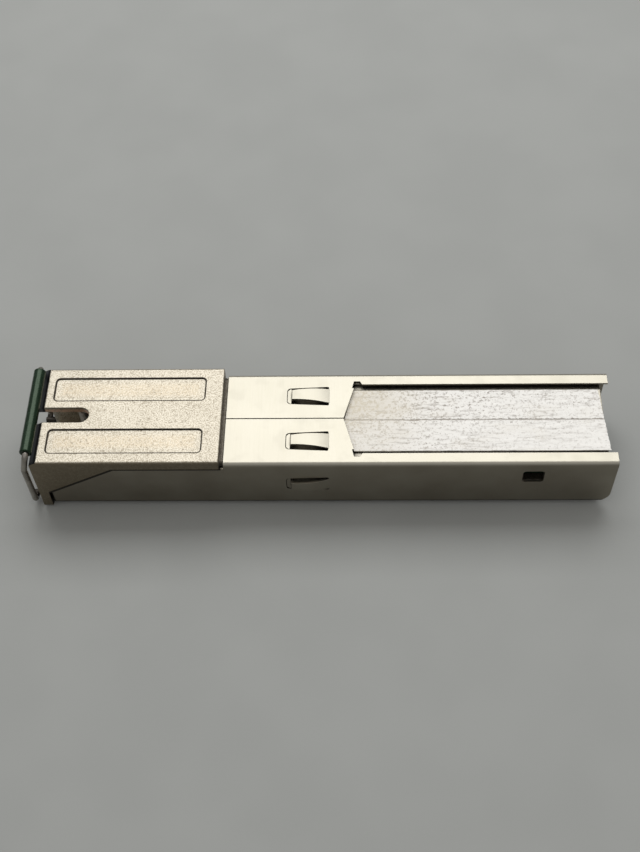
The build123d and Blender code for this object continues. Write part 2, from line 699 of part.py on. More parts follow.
def receptacle_barrel():
    """Turned barrel on the port axis: it holds the ceramic sleeve and is welded to the optics block."""
    flange = (OPTICS_X + CLEAR, OPTICS_BLOCK_X)
    barrel = rod_x((BARREL_TIP_X, flange[0] + 0.1), BARREL_D)
    barrel = chamfer(barrel.edges().sort_by(Axis.X)[0], 0.25)
    barrel += rod_x(flange, FLANGE_D)
    barrel -= rod_x((SLEEVE_X, SLEEVE_X + CERAMIC_L + CLEAR), CERAMIC_D + CLEAR)
    barrel -= rod_x((BARREL_TIP_X - 1, SLEEVE_X + CLEAR), (BORE_D + CERAMIC_D) / 2)
    return barrel - rod_x((SLEEVE_X, flange[1] + 1), STUB_D + SOLDER)


def ferrule_sleeve():
    """Split ceramic sleeve that lines up the fibre ferrule."""
    x = (SLEEVE_X + SOLDER, SLEEVE_X + CERAMIC_L)
    sleeve = rod_x(x, CERAMIC_D) - rod_x((x[0] - 1, x[1] + 1), BORE_D)
    return sleeve - wide((x[0] - 1, x[1] + 1), CERAMIC_SLIT, (PORT_Z - CERAMIC_D, PORT_Z))


def fibre_stub():
    """Ceramic stub with the fixed fibre, behind the sleeve."""
    return rod_x((SLEEVE_X + CERAMIC_L + CLEAR, OPTICS_BLOCK_X), STUB_D)


def optics_body():
    """Optics block: a turned body with a flat for the receiver and bores for both cans."""
    end = LASER_X
    body = rod_x((OPTICS_BLOCK_X, end), OPTICS_D)
    body -= block((OPTICS_BLOCK_X - 1, end + 1), (FLAT_Y, OPTICS_D), (0, BODY_H))
    body -= rod_x((OPTICS_BLOCK_X - 1, end), STUB_D)
    body -= rod_x((end - LASER_CAP_L - CLEAR, end + 1), LASER_CAP_D + 2 * CLEAR)
    receiver_y = FLAT_Y - RECEIVER_CAP_L - CLEAR
    return body - rod_y((receiver_y, OPTICS_D), RECEIVER_CAP_D + 2 * CLEAR, RECEIVER_X, PORT_Z)


def laser_can():
    """Laser package at the back of the optics block: cap, header and four leads."""
    back = LASER_X + HEADER_T
    can = rod_x((LASER_X - LASER_CAP_L, back), LASER_CAP_D) + rod_x((LASER_X, back), LASER_D)
    for turn in range(4):
        angle = radians(45 + 90 * turn)
        y = LEAD_CIRCLE / 2 * cos(angle)
        z = PORT_Z + LEAD_CIRCLE / 2 * sin(angle)
        can += Pos((LASER_X + back + LEAD_L) / 2, y, z) * Box(HEADER_T + LEAD_L, LEAD_W, LEAD_W)
    return can


def photodiode_can():
    """Receiver package on the side of the optics block."""
    back = FLAT_Y + RECEIVER_HEADER_T
    can = rod_y((FLAT_Y - RECEIVER_CAP_L, back), RECEIVER_CAP_D, RECEIVER_X, PORT_Z)
    return can + rod_y((FLAT_Y, back), RECEIVER_D, RECEIVER_X, PORT_Z)


def laser_flex():
    """Flexible circuit from the laser's leads down to the board."""
    x = LASER_X + HEADER_T + LEAD_L + SOLDER
    low = BOARD_TOP + SOLDER
    foot = BOARD_X + FLEX_LAND
    step = [
        (x, PORT_Z + FLEX_RISE),
        (x + FLEX_T, PORT_Z + FLEX_RISE),
        (x + FLEX_T, low + FLEX_BEND),
        (foot, low + FLEX_T),
        (foot + FLEX_FOOT, low + FLEX_T),
        (foot + FLEX_FOOT, low),
        (foot - FLEX_T / 2, low),
        (x, low + FLEX_BEND - FLEX_T / 2),
    ]
    return side_prism(step, (-FLEX_W / 2, FLEX_W / 2))


def photodiode_flex():
    """Flexible circuit from the receiver along the wall and down to the board."""
    y = FLAT_Y + RECEIVER_HEADER_T + SOLDER
    low = BOARD_TOP + SOLDER
    reach = RECEIVER_CAP_D / 2
    upright = block((RECEIVER_X - reach, BOARD_X + reach), (y, y + FLEX_T), (low, PORT_Z + 0.8 * reach))
    return upright + block((BOARD_X + FLEX_LAND / 2, BOARD_X + reach), (y, y + reach), (low, low + FLEX_T))


def board():
    """Circuit board: a wide part between the walls and a tongue with chamfered corners."""
    half, tongue = BOARD_W / 2, TONGUE_W / 2
    side = [(BOARD_X, half), (TONGUE_X - 0.7, half), (TONGUE_X, tongue)]
    side += [(BOARD_END - 0.4, tongue), (BOARD_END, tongue - 0.4)]
    outline = side + [(x, -y) for x, y in reversed(side)]
    return plan_prism(outline, (BOARD_Z, BOARD_TOP))


def edge_contacts():
    """Ten gold contacts above and ten below the tongue; ground and power reach further."""
    pads = []
    for number in range(PAD_COUNT):
        y = (number - (PAD_COUNT - 1) / 2) * PAD_PITCH
        reach = 0.35 if number in (0, 4, 5, 9) else 0.8
        x = (BOARD_END - reach - PAD_L, BOARD_END - reach)
        span = (y - PAD_W / 2, y + PAD_W / 2)
        pads.append(block(x, span, (BOARD_TOP, BOARD_TOP + COPPER_T)))
        pads.append(block(x, span, (BOARD_Z - COPPER_T, BOARD_Z)))
    return Compound(children=pads)


def chip(x, size, y=0.0):
    """Flat package that stands on the board at x, with a bevelled rim."""
    length, width, height = size
    low = BOARD_TOP + SOLDER
    body = block((x, x + length), (y - width / 2, y + width / 2), (low, low + height))
    return chamfer(body.faces().sort_by(Axis.Z)[-1].edges(), height / 8)


def shield_can():
    """Stamped screening can over the driver, open below, with vent holes in its lid."""
    x = (SHIELD_X, SHIELD_X + SHIELD_L)
    low, top = BOARD_TOP + SOLDER, BOARD_TOP + SHIELD_H
    can = wide(x, SHIELD_W, (low, top))
    can = fillet(can.edges().filter_by(Axis.Z), 2.5 * SHIELD_T)
    can -= wide((x[0] + SHIELD_T, x[1] - SHIELD_T), SHIELD_W - 2 * SHIELD_T, (0, top - SHIELD_T))
    vents = Pos(sum(x) / 2, 0, top) * GridLocations(VENT_PITCH, VENT_PITCH, 3, 4)
    return can - [place * Box(VENT, VENT, VENT) for place in vents]


def driver_chip():
    """Laser driver in the middle of the screening can."""
    return chip(SHIELD_X + (SHIELD_L - DRIVER_SIZE[0]) / 2, DRIVER_SIZE)


def capacitors():
    """Small ceramic capacitors between the screening can and the controller, in a grid."""
    pieces = []
    for column in range(2):
        for row in range(6):
            x = CAPACITOR_X + column * CAPACITOR_PITCH[0]
            y = (row - 2.5) * CAPACITOR_PITCH[1]
            pieces.append(chip(x, CAPACITOR_SIZE, y))
    return Compound(children=pieces)


def inductors():
    """Two moulded power inductors."""
    return Compound(children=[chip(INDUCTOR_X, INDUCTOR_SIZE, y) for y in (-INDUCTOR_Y, INDUCTOR_Y)])


def thermal_pad():
    """Soft pad that carries heat from the controller to the cover."""
    x = (CONTROLLER_X + HEAT_PAD_INSET, CONTROLLER_X + CONTROLLER_SIZE[0] - HEAT_PAD_INSET)
    width = CONTROLLER_SIZE[1] - 2 * HEAT_PAD_INSET
    return wide(x, width, (HEAT_PAD_Z + SOLDER, HEAT_PAD_Z + HEAT_PAD_T))


PARTS = {
    "nose_housing": nose_housing,
    "top_cover": top_cover,
    "shell": shell,
    "label_pad": label_pad,
    "bail_wire": bail_wire,
    "bail_sleeve": bail_sleeve,
    "latch_lever": latch_lever,
    "latch_pin": latch_pin,
    "latch_spring": latch_spring,
    "port_insert": port_insert,
    "receptacle_barrel": receptacle_barrel,
    "ferrule_sleeve": ferrule_sleeve,
    "fibre_stub": fibre_stub,
    "optics_body": optics_body,
    "laser_can": laser_can,
    "photodiode_can": photodiode_can,
    "laser_flex": laser_flex,
    "photodiode_flex": photodiode_flex,
    "circuit_board": board,
    "edge_contacts": edge_contacts,
    "controller_chip": lambda: chip(CONTROLLER_X, CONTROLLER_SIZE),
    "driver_chip": driver_chip,
    "flash_chip": lambda: chip(FLASH_X, FLASH_SIZE, FLASH_Y),
    "crystal": lambda: chip(CRYSTAL_X, CRYSTAL_SIZE, CRYSTAL_Y),
    "inductors": inductors,
    "capacitors": capacitors,
    "shield_can": shield_can,
    "thermal_pad": thermal_pad,
}

os.makedirs("parts", exist_ok=True)
for name, make in PARTS.items():
    export_step(make(), f"parts/{name}.step")
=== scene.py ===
"""Looks of a small pluggable fibre transceiver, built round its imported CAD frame.

The die-cast nose, the folded sheet-metal body with its seam and grounding fingers, the torn blank
label on the landing, the wire bail with its green sleeve, and the optics and board inside get their
finishes here. Fine pieces that the CAD leaves plain are modelled and ride on the CAD bodies.
Lengths are metres in the frame of the CAD, with values in millimetres multiplied by MM. The
finishes read places in plain millimetres.
"""

import logging
import math
from dataclasses import dataclass
from enum import Enum
from typing import Any, Iterable, Sequence

import bmesh
import bpy
from mathutils import Matrix, Vector, noise

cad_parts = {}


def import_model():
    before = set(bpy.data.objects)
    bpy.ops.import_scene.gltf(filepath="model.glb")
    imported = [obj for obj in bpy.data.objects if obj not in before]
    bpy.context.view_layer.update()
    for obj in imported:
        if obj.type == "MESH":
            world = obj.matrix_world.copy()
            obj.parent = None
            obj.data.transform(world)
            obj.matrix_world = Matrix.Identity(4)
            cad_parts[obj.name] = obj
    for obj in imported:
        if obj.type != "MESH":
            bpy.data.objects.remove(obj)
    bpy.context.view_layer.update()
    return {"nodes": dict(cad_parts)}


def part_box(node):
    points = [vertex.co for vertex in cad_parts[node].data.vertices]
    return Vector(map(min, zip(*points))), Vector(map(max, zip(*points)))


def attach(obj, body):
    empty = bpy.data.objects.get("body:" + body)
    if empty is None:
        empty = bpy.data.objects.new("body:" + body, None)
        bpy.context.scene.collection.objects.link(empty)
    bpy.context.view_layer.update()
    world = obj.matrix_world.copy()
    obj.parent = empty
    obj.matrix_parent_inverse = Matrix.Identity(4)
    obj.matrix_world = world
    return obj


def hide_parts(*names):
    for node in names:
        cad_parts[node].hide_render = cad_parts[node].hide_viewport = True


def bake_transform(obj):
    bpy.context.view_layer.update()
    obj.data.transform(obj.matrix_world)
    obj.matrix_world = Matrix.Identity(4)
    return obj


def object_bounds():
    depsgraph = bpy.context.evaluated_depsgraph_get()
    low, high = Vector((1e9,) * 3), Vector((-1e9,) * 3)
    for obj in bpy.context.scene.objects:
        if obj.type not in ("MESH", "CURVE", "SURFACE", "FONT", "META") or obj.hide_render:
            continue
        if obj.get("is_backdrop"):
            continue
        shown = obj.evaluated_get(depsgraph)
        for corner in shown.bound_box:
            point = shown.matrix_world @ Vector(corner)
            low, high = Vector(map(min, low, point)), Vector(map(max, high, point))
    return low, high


MM = 0.001
IMAGE_W, IMAGE_H = 640, 852
CLIP = (1 * MM, 20.0)
MERGE_DISTANCE = 1e-7
PLAIN = (1.0, 1.0, 1.0)
# Painted shade: the near-black colour laid into corners, gaps and shaded faces, and how fully it covers.
PAINTED_SHADE = (0.014, 0.011, 0.008)
PAINTED_SHADE_COVER = 0.9
OPEN_SKY = (0.3, 0.85)
SKY_SAMPLES = 8
EDGE_SAMPLES = 6
SHARP_ANGLE = 28.0
FLAT_WEIGHT = 100
MIX_FACTOR, MIX_FIRST, MIX_SECOND, MIX_RESULT = 0, 6, 7, 2

Colour = tuple[float, float, float]
Span = tuple[float, float]
log = logging.getLogger("scene")


class Body(Enum):
    """The CAD bodies that pieces ride on."""

    HOUSING = "housing"
    BAIL = "bail"
    LATCH = "latch"


class Grain(Enum):
    """Which way the fine marks of a metal run, as the stretch of its noise along X, Y and Z."""

    NONE = PLAIN
    ALONG_X = (0.06, 1.0, 1.0)
    ALONG_Y = (1.0, 0.06, 1.0)


@dataclass(frozen=True)
class Marks:
    """Soft noise: its size in millimetres, its finer layers, its stretch and what it is cut to.

    A stretch below 1 draws the marks out along that axis. The cut is the noise's level where the
    result is 0, and the one where it is 1.
    """

    size: float
    detail: float = 2.0
    roughness: float = 0.5
    stretch: Sequence[float] = PLAIN
    cut: Span | None = None


class Value:
    """A node socket that takes part in arithmetic: each operator adds the Math node it stands for."""

    def __init__(self, book: "NodeBook", socket: bpy.types.NodeSocket) -> None:
        """Wrap an output socket of a node in the book's tree."""
        self.book = book
        self.socket = socket

    def _math(self, operation: str, first: Any, second: Any = None) -> "Value":
        """Add one Math node for one or two operands, and return its result."""
        inputs = {0: first} if second is None else {0: first, 1: second}
        return self.book.add("ShaderNodeMath", {"operation": operation}, inputs)

    def __add__(self, other: Any) -> "Value":
        """Sum."""
        return self._math("ADD", self, other)

    def __radd__(self, other: Any) -> "Value":
        """Sum with a number on the left."""
        return self._math("ADD", other, self)

    def __sub__(self, other: Any) -> "Value":
        """Difference."""
        return self._math("SUBTRACT", self, other)

    def __rsub__(self, other: Any) -> "Value":
        """Difference from a number on the left."""
        return self._math("SUBTRACT", other, self)

    def __mul__(self, other: Any) -> "Value":
        """Product."""
        return self._math("MULTIPLY", self, other)

    def __rmul__(self, other: Any) -> "Value":
        """Product with a number on the left."""
        return self._math("MULTIPLY", other, self)

    def __abs__(self) -> "Value":
        """Absolute value."""
        return self._math("ABSOLUTE", self)

    def least(self, other: Any) -> "Value":
        """The lesser of two values."""
        return self._math("MINIMUM", self, other)

    def most(self, other: Any) -> "Value":
        """The greater of two values."""
        return self._math("MAXIMUM", self, other)

    def power(self, exponent: float) -> "Value":
        """A power of the value."""
        return self._math("POWER", self, exponent)

    def step(self, low: float, high: float) -> "Value":
        """Smooth step.

        Args:
            low: Where the result is 0.
            high: Where the result is 1, which may be less than low.

        Returns:
            A value from 0 to 1.
        """
        settings = {"interpolation_type": "SMOOTHSTEP"}
        if low < high:
            return self.book.add("ShaderNodeMapRange", settings, {0: self, 1: low, 2: high})
        return 1.0 - self.book.add("ShaderNodeMapRange", settings, {0: self, 1: high, 2: low})


class NodeBook:
    """The node tree of one material, with short ways to add its nodes."""

    def __init__(self, tree: bpy.types.NodeTree) -> None:
        """Start on the tree that every node goes into."""
        self.tree = tree

    def add(self, kind: str, settings: dict[str, Any] | None = None,
            inputs: dict[int | str, Any] | None = None, output: int | str = 0) -> Value:
        """Add a node.

        Args:
            kind: The node's type.
            settings: Its properties, set before the sockets.
            inputs: Numbers, colours or Values by socket name or number.
            output: Which output to return.

        Returns:
            The chosen output.
        """
        node = self.tree.nodes.new(kind)
        for key, value in (settings or {}).items():
            setattr(node, key, value)
        for key, value in (inputs or {}).items():
            if isinstance(value, Value):
                self.tree.links.new(value.socket, node.inputs[key])
            else:
                node.inputs[key].default_value = value
        return Value(self, node.outputs[output])

    def place(self, stretch: Sequence[float] = PLAIN) -> Value:
        """Object coordinates in millimetres.

        Args:
            stretch: Scale along each axis; less than 1 draws a pattern out along it.

        Returns:
            The vector.
        """
        coords = self.add("ShaderNodeTexCoord", output="Object")
        scale = tuple(part / MM for part in stretch)
        return self.add("ShaderNodeMapping", {"vector_type": "POINT"}, {"Vector": coords, "Scale": scale})

    def noise(self, marks: Marks) -> Value:
        """Soft noise.

        Args:
            marks: How large and fine its marks are.

        Returns:
            A value mostly between 0.3 and 0.7, or from 0 to 1 where the marks have a cut.
        """
        inputs = {"Vector": self.place(marks.stretch), "Scale": 1 / marks.size,
                  "Detail": marks.detail, "Roughness": marks.roughness}
        found = self.add("ShaderNodeTexNoise", None, inputs, "Fac")
        return found.step(*marks.cut) if marks.cut else found

    def axes(self) -> tuple[Value, Value, Value]:
        """The three object coordinates in millimetres, as separate values."""
        split = self.add("ShaderNodeSeparateXYZ", None, {"Vector": self.place()})
        node = split.socket.node
        return tuple(Value(self, node.outputs[axis]) for axis in "XYZ")

    def crevice(self, reach: float) -> Value:
        """How open the surface is, for the painted shade in corners and gaps: ambient occlusion that
        darkens the colour.

        Args:
            reach: How far from a corner the painted shade reaches, in millimetres.

        Returns:
            0 deep in a gap, 1 in the open.
        """
        settings = {"samples": SKY_SAMPLES}
        # Painted shade: ambient occlusion, cut to a mask that darkens the colour.
        sky = self.add("ShaderNodeAmbientOcclusion", settings, {"Distance": reach * MM}, "AO")
        return sky.step(*OPEN_SKY)

    def mix(self, factor: Value | float, low: Colour | Value, high: Colour | Value) -> Value:
        """Blend two colours.

        Args:
            factor: 0 for the first colour, 1 for the second.
            low: The first colour.
            high: The second colour.

        Returns:
            The blended colour.
        """
        first = low if isinstance(low, Value) else (*low, 1.0)
        second = high if isinstance(high, Value) else (*high, 1.0)
        settings = {"data_type": "RGBA", "blend_type": "MIX"}
        inputs = {MIX_FACTOR: factor, MIX_FIRST: first, MIX_SECOND: second}
        return self.add("ShaderNodeMix", settings, inputs, MIX_RESULT)

    def relief(self, height: Value, depth: float, edge: float = 0.0) -> Value:
        """Bump from a height.

        Args:
            height: The height, about 0 to 1.
            depth: What 1 stands for, in millimetres.
            edge: Radius in millimetres to which sharp edges are shaded round, or 0.

        Returns:
            The normal.
        """
        inputs: dict[int | str, Any] = {"Height": height, "Strength": 1.0, "Distance": depth * MM}
        if edge:
            settings = {"samples": EDGE_SAMPLES}
            inputs["Normal"] = self.add("ShaderNodeBevel", settings, {"Radius": edge * MM})
        return self.add("ShaderNodeBump", None, inputs)


@dataclass(frozen=True)
class Finish:
    """What every finish has: its name and the record's material slot it stands for."""

    name: str
    slot: str

    def material(self) -> bpy.types.Material:
        """Make the material, or return it if it was made before.

        Returns:
            The material.
        """
        title = f"finish_{self.name}"
        found = bpy.data.materials.get(title)
        if found:
            return found
        made = bpy.data.materials.new(title)
        made.use_nodes = True
        made.node_tree.nodes.clear()
        book = NodeBook(made.node_tree)
        shader = book.add("ShaderNodeBsdfPrincipled", None, self.sockets(book))
        output = made.node_tree.nodes.new("ShaderNodeOutputMaterial")
        made.node_tree.links.new(shader.socket, output.inputs["Surface"])
        return made

    def sockets(self, book: NodeBook) -> dict[int | str, Any]:
        """Numbers and Values by the shader's socket names; each kind of finish says its own."""
        raise NotImplementedError


@dataclass(frozen=True)
class WingOutline:
    """Outline of the sheet's wings on the sides of the nose, in millimetres."""

    front: float = -21.3
    low: float = 2.7
    slope_end: float = -12.9
    top: float = 7.7
    side_y: Span = (6.4, 6.5)
    root_x: Span = (0.2, 0.1)
    fade: float = 0.8
    front_share: float = 0.5

    def line(self, book: NodeBook, width: float) -> Value:
        """The painted shade along the outline, a dark line where the gap between the wings and the nose
        lies.

        Args:
            book: The material's nodes.
            width: How far from the outline the painted shade reaches, or half of it at the front edge.

        Returns:
            1 on the outline, 0 away from it.
        """
        x, y, z = book.axes()
        run, rise = self.slope_end - self.front, self.top - self.low
        length = math.hypot(run, rise)
        slope = (x - self.front) * (rise / length) - (z - self.low) * (run / length)
        ahead = (x - self.front) * (1 / self.front_share)
        inside = slope.least(ahead).least(self.top - z)
        on_side = x.step(*self.root_x) * abs(y).step(*self.side_y)
        return abs(inside).step(width, width * self.fade) * on_side


@dataclass(frozen=True)
class PocketOutline:
    """Outline of the two top pockets of the nose, in millimetres."""

    middle_x: float = -11.5
    middle_y: float = 3.83
    half_x: float = 9.3
    half_y: float = 1.675
    radius: float = 0.5

    def depth(self, book: NodeBook) -> Value:
        """How far a point lies outside the nearer pocket, less than 0 within it.

        Args:
            book: The material's nodes.

        Returns:
            The distance.
        """
        x, y, _ = book.axes()
        across = abs(x - self.middle_x) - (self.half_x - self.radius)
        along = abs(abs(y) - self.middle_y) - (self.half_y - self.radius)
        corner = (across.most(0.0).power(2.0) + along.most(0.0).power(2.0)).power(0.5)
        return corner + across.most(along).least(0.0) - self.radius


WING = WingOutline()
POCKET = PocketOutline()


@dataclass(frozen=True)
class CastMetal(Finish):
    """Blasted and plated casting: a fine speckle, pits, soft clouds of colour, edges shaded round, and
    painted shade in its corners.
    """

    colour: Colour
    shade: Colour
    depth: float = 0.022
    rough: float = 0.36
    shade_reach: float = 0.5
    edge: float = 0.13
    speck: Marks = Marks(0.16, 3.0, 0.62)
    speck_cut: Span = (0.36, 0.6)
    pits: Marks = Marks(0.416, 1.0, cut=(0.42, 0.3))
    cloud: Marks = Marks(3.5, cut=(0.35, 0.7))

    def sockets(self, book: NodeBook) -> dict[int | str, Any]:
        """Speckled metal.

        Args:
            book: The material's nodes.

        Returns:
            The shader's socket values.
        """
        speck, pits, cloud = (book.noise(marks) for marks in (self.speck, self.pits, self.cloud))
        tone = (speck.step(*self.speck_cut) * 0.95 + cloud * 0.12) - pits * 0.35
        clean = book.mix(tone, self.shade, self.colour)
        return {
            # Painted shade: the colour darkens in corners and gaps.
            "Base Color": book.mix(book.crevice(self.shade_reach), PAINTED_SHADE, clean),
            "Metallic": 1.0,
            "Roughness": self.rough + speck * 0.16,
            "Normal": book.relief(speck * 0.8 - pits * 0.35, self.depth, self.edge),
        }


@dataclass(frozen=True)
class NoseMetal(CastMetal):
    """The nose's casting: painted shade on a charcoal brow, on darker flanks and root and round the
    pockets, with a painted reflection on the brow and painted warm light in the key slot.

    Each span is where a mark fades in along its axis, in millimetres.
    """

    brow: Colour = (0.026, 0.027, 0.030)
    sheen: Colour = (0.100, 0.104, 0.112)
    gilt: Colour = (0.47, 0.385, 0.27)
    warm: Colour = (0.80, 0.55, 0.42)
    flank: Colour = (0.172, 0.140, 0.092)
    mottle: Marks = Marks(0.3, cut=(0.35, 0.62))
    roof_z: Span = (8.6, 8.7)
    pocket_inside: Span = (-0.35, -1.2)
    pocket_rim: float = 0.03
    rim_width: Span = (0.12, 0.08)
    flank_y: Span = (6.83, 6.95)
    slot_x: Span = (-12.0, -13.0)
    slot_y: Span = (1.7, 1.5)
    slot_foot: Span = (5.0, 6.0)
    slot_top: Span = (9.1, 9.0)
    root_x: Span = (0.02, 0.06)
    root_y: Span = (6.6, 6.8)
    wing_shade: float = 0.42
    brow_x: Span = (-21.77, -21.83)
    brow_y: Span = (7.02, 6.97)
    brow_z: Span = (8.0, 8.6)
    streak_x: float = -22.3
    streak_width: Span = (0.3, 0.1)

    def sockets(self, book: NodeBook) -> dict[int | str, Any]:
        """Speckled metal with its marks.

        Args:
            book: The material's nodes.

        Returns:
            The shader's socket values.
        """
        found = super().sockets(book)
        x, y, z = book.axes()
        roof = z.step(*self.roof_z)
        depth = POCKET.depth(book)
        mottle = book.noise(self.mottle) * 0.6 + 0.4
        worn = depth.step(*self.pocket_inside) * roof * mottle * 0.4
        clean = book.mix(worn, found["Base Color"], self.gilt)
        # Painted shade: the flanks take a darker colour where the sides face away from the light.
        side = abs(y).step(*self.flank_y)
        clean = book.mix(side * (0.7 + mottle * 0.2), clean, self.flank)
        # Painted light: a bright warm colour inside the key slot stands for light reflected in it.
        slot = abs(y).step(*self.slot_y) * z.step(*self.slot_top) * z.step(*self.slot_foot)
        clean = book.mix(slot * x.step(*self.slot_x) * mottle, clean, self.warm)
        # Painted shade: a dark line round the pockets, the root where the nose meets the sheet, and the
        # line along the wings.
        rim = abs(depth - self.pocket_rim).step(*self.rim_width) * roof
        root = x.step(*self.root_x) * (abs(y).step(*self.root_y) * 0.3 + 0.8)
        shade_marks = rim.most(WING.line(book, self.wing_shade)).most(root)
        with_shade = book.mix(shade_marks * PAINTED_SHADE_COVER, clean, PAINTED_SHADE)
        # Painted shade: the brow bevel is charcoal; the lighter streak across it is a painted reflection.
        bevel = x.step(*self.brow_x) * z.step(*self.brow_z) * abs(y).step(*self.brow_y)
        streak = abs(x - self.streak_x).step(*self.streak_width)
        found["Base Color"] = book.mix(bevel, with_shade, book.mix(streak, self.brow, self.sheen))
        return found


@dataclass(frozen=True)
class PlatedSheet(Finish):
    """Smooth plated sheet: faint rolling marks and soft smudges, with painted shade on darker flanks, along
    the wings, at the foot, at the fold's root and in corners.

    Each span is where a mark fades in along its axis, in millimetres.
    """

    colour: Colour
    shade: Colour
    flank: Colour
    rough: float = 0.34
    depth: float = 0.0035
    edge: float = 0.05
    shade_reach: float = 0.5
    wing_shade: float = 0.34
    rolling: Marks = Marks(0.22, stretch=Grain.ALONG_Y.value)
    rolling_cut: Span = (0.3, 0.7)
    cloud: Marks = Marks(7.0, 3.0)
    cloud_cut: Span = (0.3, 0.65)
    smudge: Marks = Marks(2.2, cut=(0.52, 0.68))
    fine: Marks = Marks(0.12, 1.0)
    flank_y: Span = (6.4, 6.6)
    flank_z: Span = (8.32, 8.12)
    foot_y: Span = (6.2, 6.4)
    foot_z: Span = (0.62, 0.36)
    root_x: Span = (0.4, 0.25)
    root_y: Span = (6.0, 6.3)
    root_z: Span = (7.85, 8.0)

    def sockets(self, book: NodeBook) -> dict[int | str, Any]:
        """Rolled and plated metal.

        Args:
            book: The material's nodes.

        Returns:
            The shader's socket values.
        """
        kinds = (self.rolling, self.cloud, self.smudge, self.fine)
        rolling, cloud, smudge, fine = (book.noise(marks) for marks in kinds)
        tone = cloud.step(*self.cloud_cut) * 0.4 + rolling.step(*self.rolling_cut) * 0.5 - smudge * 0.08
        x, y, z = book.axes()
        # Painted shade: the flanks below the top fold take a darker colour where the sides face away from
        # the light.
        side = z.step(*self.flank_z) * abs(y).step(*self.flank_y)
        flank = book.mix(cloud, self.flank, self.shade)
        clean = book.mix(side, book.mix(tone, self.shade, self.colour), flank)
        # Painted shade: a contact shadow along the foot, a dark line along the wings, and a darkened root
        # of the top fold behind the nose.
        foot = z.step(*self.foot_z) * abs(y).step(*self.foot_y) * PAINTED_SHADE_COVER
        root = x.step(*self.root_x) * z.step(*self.root_z) * abs(y).step(*self.root_y)
        shade_marks = (WING.line(book, self.wing_shade) * 0.95).most(foot).most(root)
        return {
            # Painted shade: the colour also darkens in corners and gaps.
            "Base Color": book.mix(book.crevice(self.shade_reach), PAINTED_SHADE, book.mix(shade_marks, clean, PAINTED_SHADE)),
            "Metallic": 1.0,
            "Roughness": self.rough + smudge * 0.02 + rolling * 0.05 + fine * 0.04,
            "Normal": book.relief(rolling * 0.6 + fine * 0.4, self.depth, self.edge),
        }


@dataclass(frozen=True)
class TurnedMetal(Finish):
    """Drawn, turned or stamped metal, with fine lines one way and a worn tone."""

    colour: Colour
    shade: Colour
    grain: Grain = Grain.ALONG_Y
    rough: float = 0.3
    depth: float = 0.006
    edge: float = 0.03
    shade_reach: float = 0.7
    line_width: float = 0.1
    wear: Marks = Marks(1.6, cut=(0.35, 0.7))

    def sockets(self, book: NodeBook) -> dict[int | str, Any]:
        """Lined metal.

        Args:
            book: The material's nodes.

        Returns:
            The shader's socket values.
        """
        lines = book.noise(Marks(self.line_width, stretch=self.grain.value))
        wear = book.noise(self.wear)
        clean = book.mix(wear * 0.5 + lines * 0.5, self.shade, self.colour)
        return {
            # Painted shade: the colour darkens in corners and gaps.
            "Base Color": book.mix(book.crevice(self.shade_reach), PAINTED_SHADE, clean),
            "Metallic": 1.0,
            "Roughness": self.rough + wear * 0.08 + lines * 0.08,
            "Normal": book.relief(lines, self.depth, self.edge),
        }


@dataclass(frozen=True)
class BailSteel(TurnedMetal):
    """The bail's wire, with painted shade on the feet that turn in the casting."""

    foot_y: Span = (6.25, 6.1)
    foot_z: Span = (1.4, 1.2)

    def sockets(self, book: NodeBook) -> dict[int | str, Any]:
        """Drawn wire with painted shade on its feet.

        Args:
            book: The material's nodes.

        Returns:
            The shader's socket values.
        """
        found = super().sockets(book)
        _, y, z = book.axes()
        # Painted shade: the feet darken where they turn in the casting.
        foot = z.step(*self.foot_z) * abs(y).step(*self.foot_y)
        found["Base Color"] = book.mix(foot * PAINTED_SHADE_COVER, found["Base Color"], PAINTED_SHADE)
        return found


@dataclass(frozen=True)
class Moulded(Finish):
    """Moulded or ceramic part: a spark-eroded grain, slight tone changes and a set gloss."""

    colour: Colour
    shade: Colour
    grain: float = 0.1
    depth: float = 0.005
    rough: float = 0.45
    gloss: float = 0.0
    gloss_rough: float = 0.25
    edge: float = 0.03
    cloud: Marks = Marks(1.6, cut=(0.3, 0.7))

    def sockets(self, book: NodeBook) -> dict[int | str, Any]:
        """Grained plastic or ceramic.

        Args:
            book: The material's nodes.

        Returns:
            The shader's socket values.
        """
        grain = book.noise(Marks(self.grain))
        return {
            "Base Color": book.mix(book.noise(self.cloud) * 0.8 + grain * 0.2, self.shade, self.colour),
            "Roughness": self.rough + grain * 0.12,
            "Coat Weight": self.gloss,
            "Coat Roughness": self.gloss_rough,
            "Normal": book.relief(grain, self.depth, self.edge),
        }


@dataclass(frozen=True)
class SoftTube(Finish):
    """Extruded soft tube: long faint die lines and a dusty bloom."""

    colour: Colour
    bloom: Colour
    rough: float = 0.15
    depth: float = 0.006
    specular: float = 0.36
    tint: Colour = (0.78, 1.0, 0.72)
    die_lines: Marks = Marks(0.12, stretch=Grain.ALONG_Y.value)
    dust: Marks = Marks(0.5, 3.0, cut=(0.45, 0.72))

    def sockets(self, book: NodeBook) -> dict[int | str, Any]:
        """Soft green tube.

        Args:
            book: The material's nodes.

        Returns:
            The shader's socket values.
        """
        die_lines, dust = book.noise(self.die_lines), book.noise(self.dust)
        return {
            "Base Color": book.mix(dust * 0.5, self.colour, self.bloom),
            "Roughness": self.rough + die_lines * 0.08 + dust * 0.14,
            "Specular IOR Level": self.specular,
            "Specular Tint": (*self.tint, 1.0),
            "Normal": book.relief(die_lines, self.depth),
        }


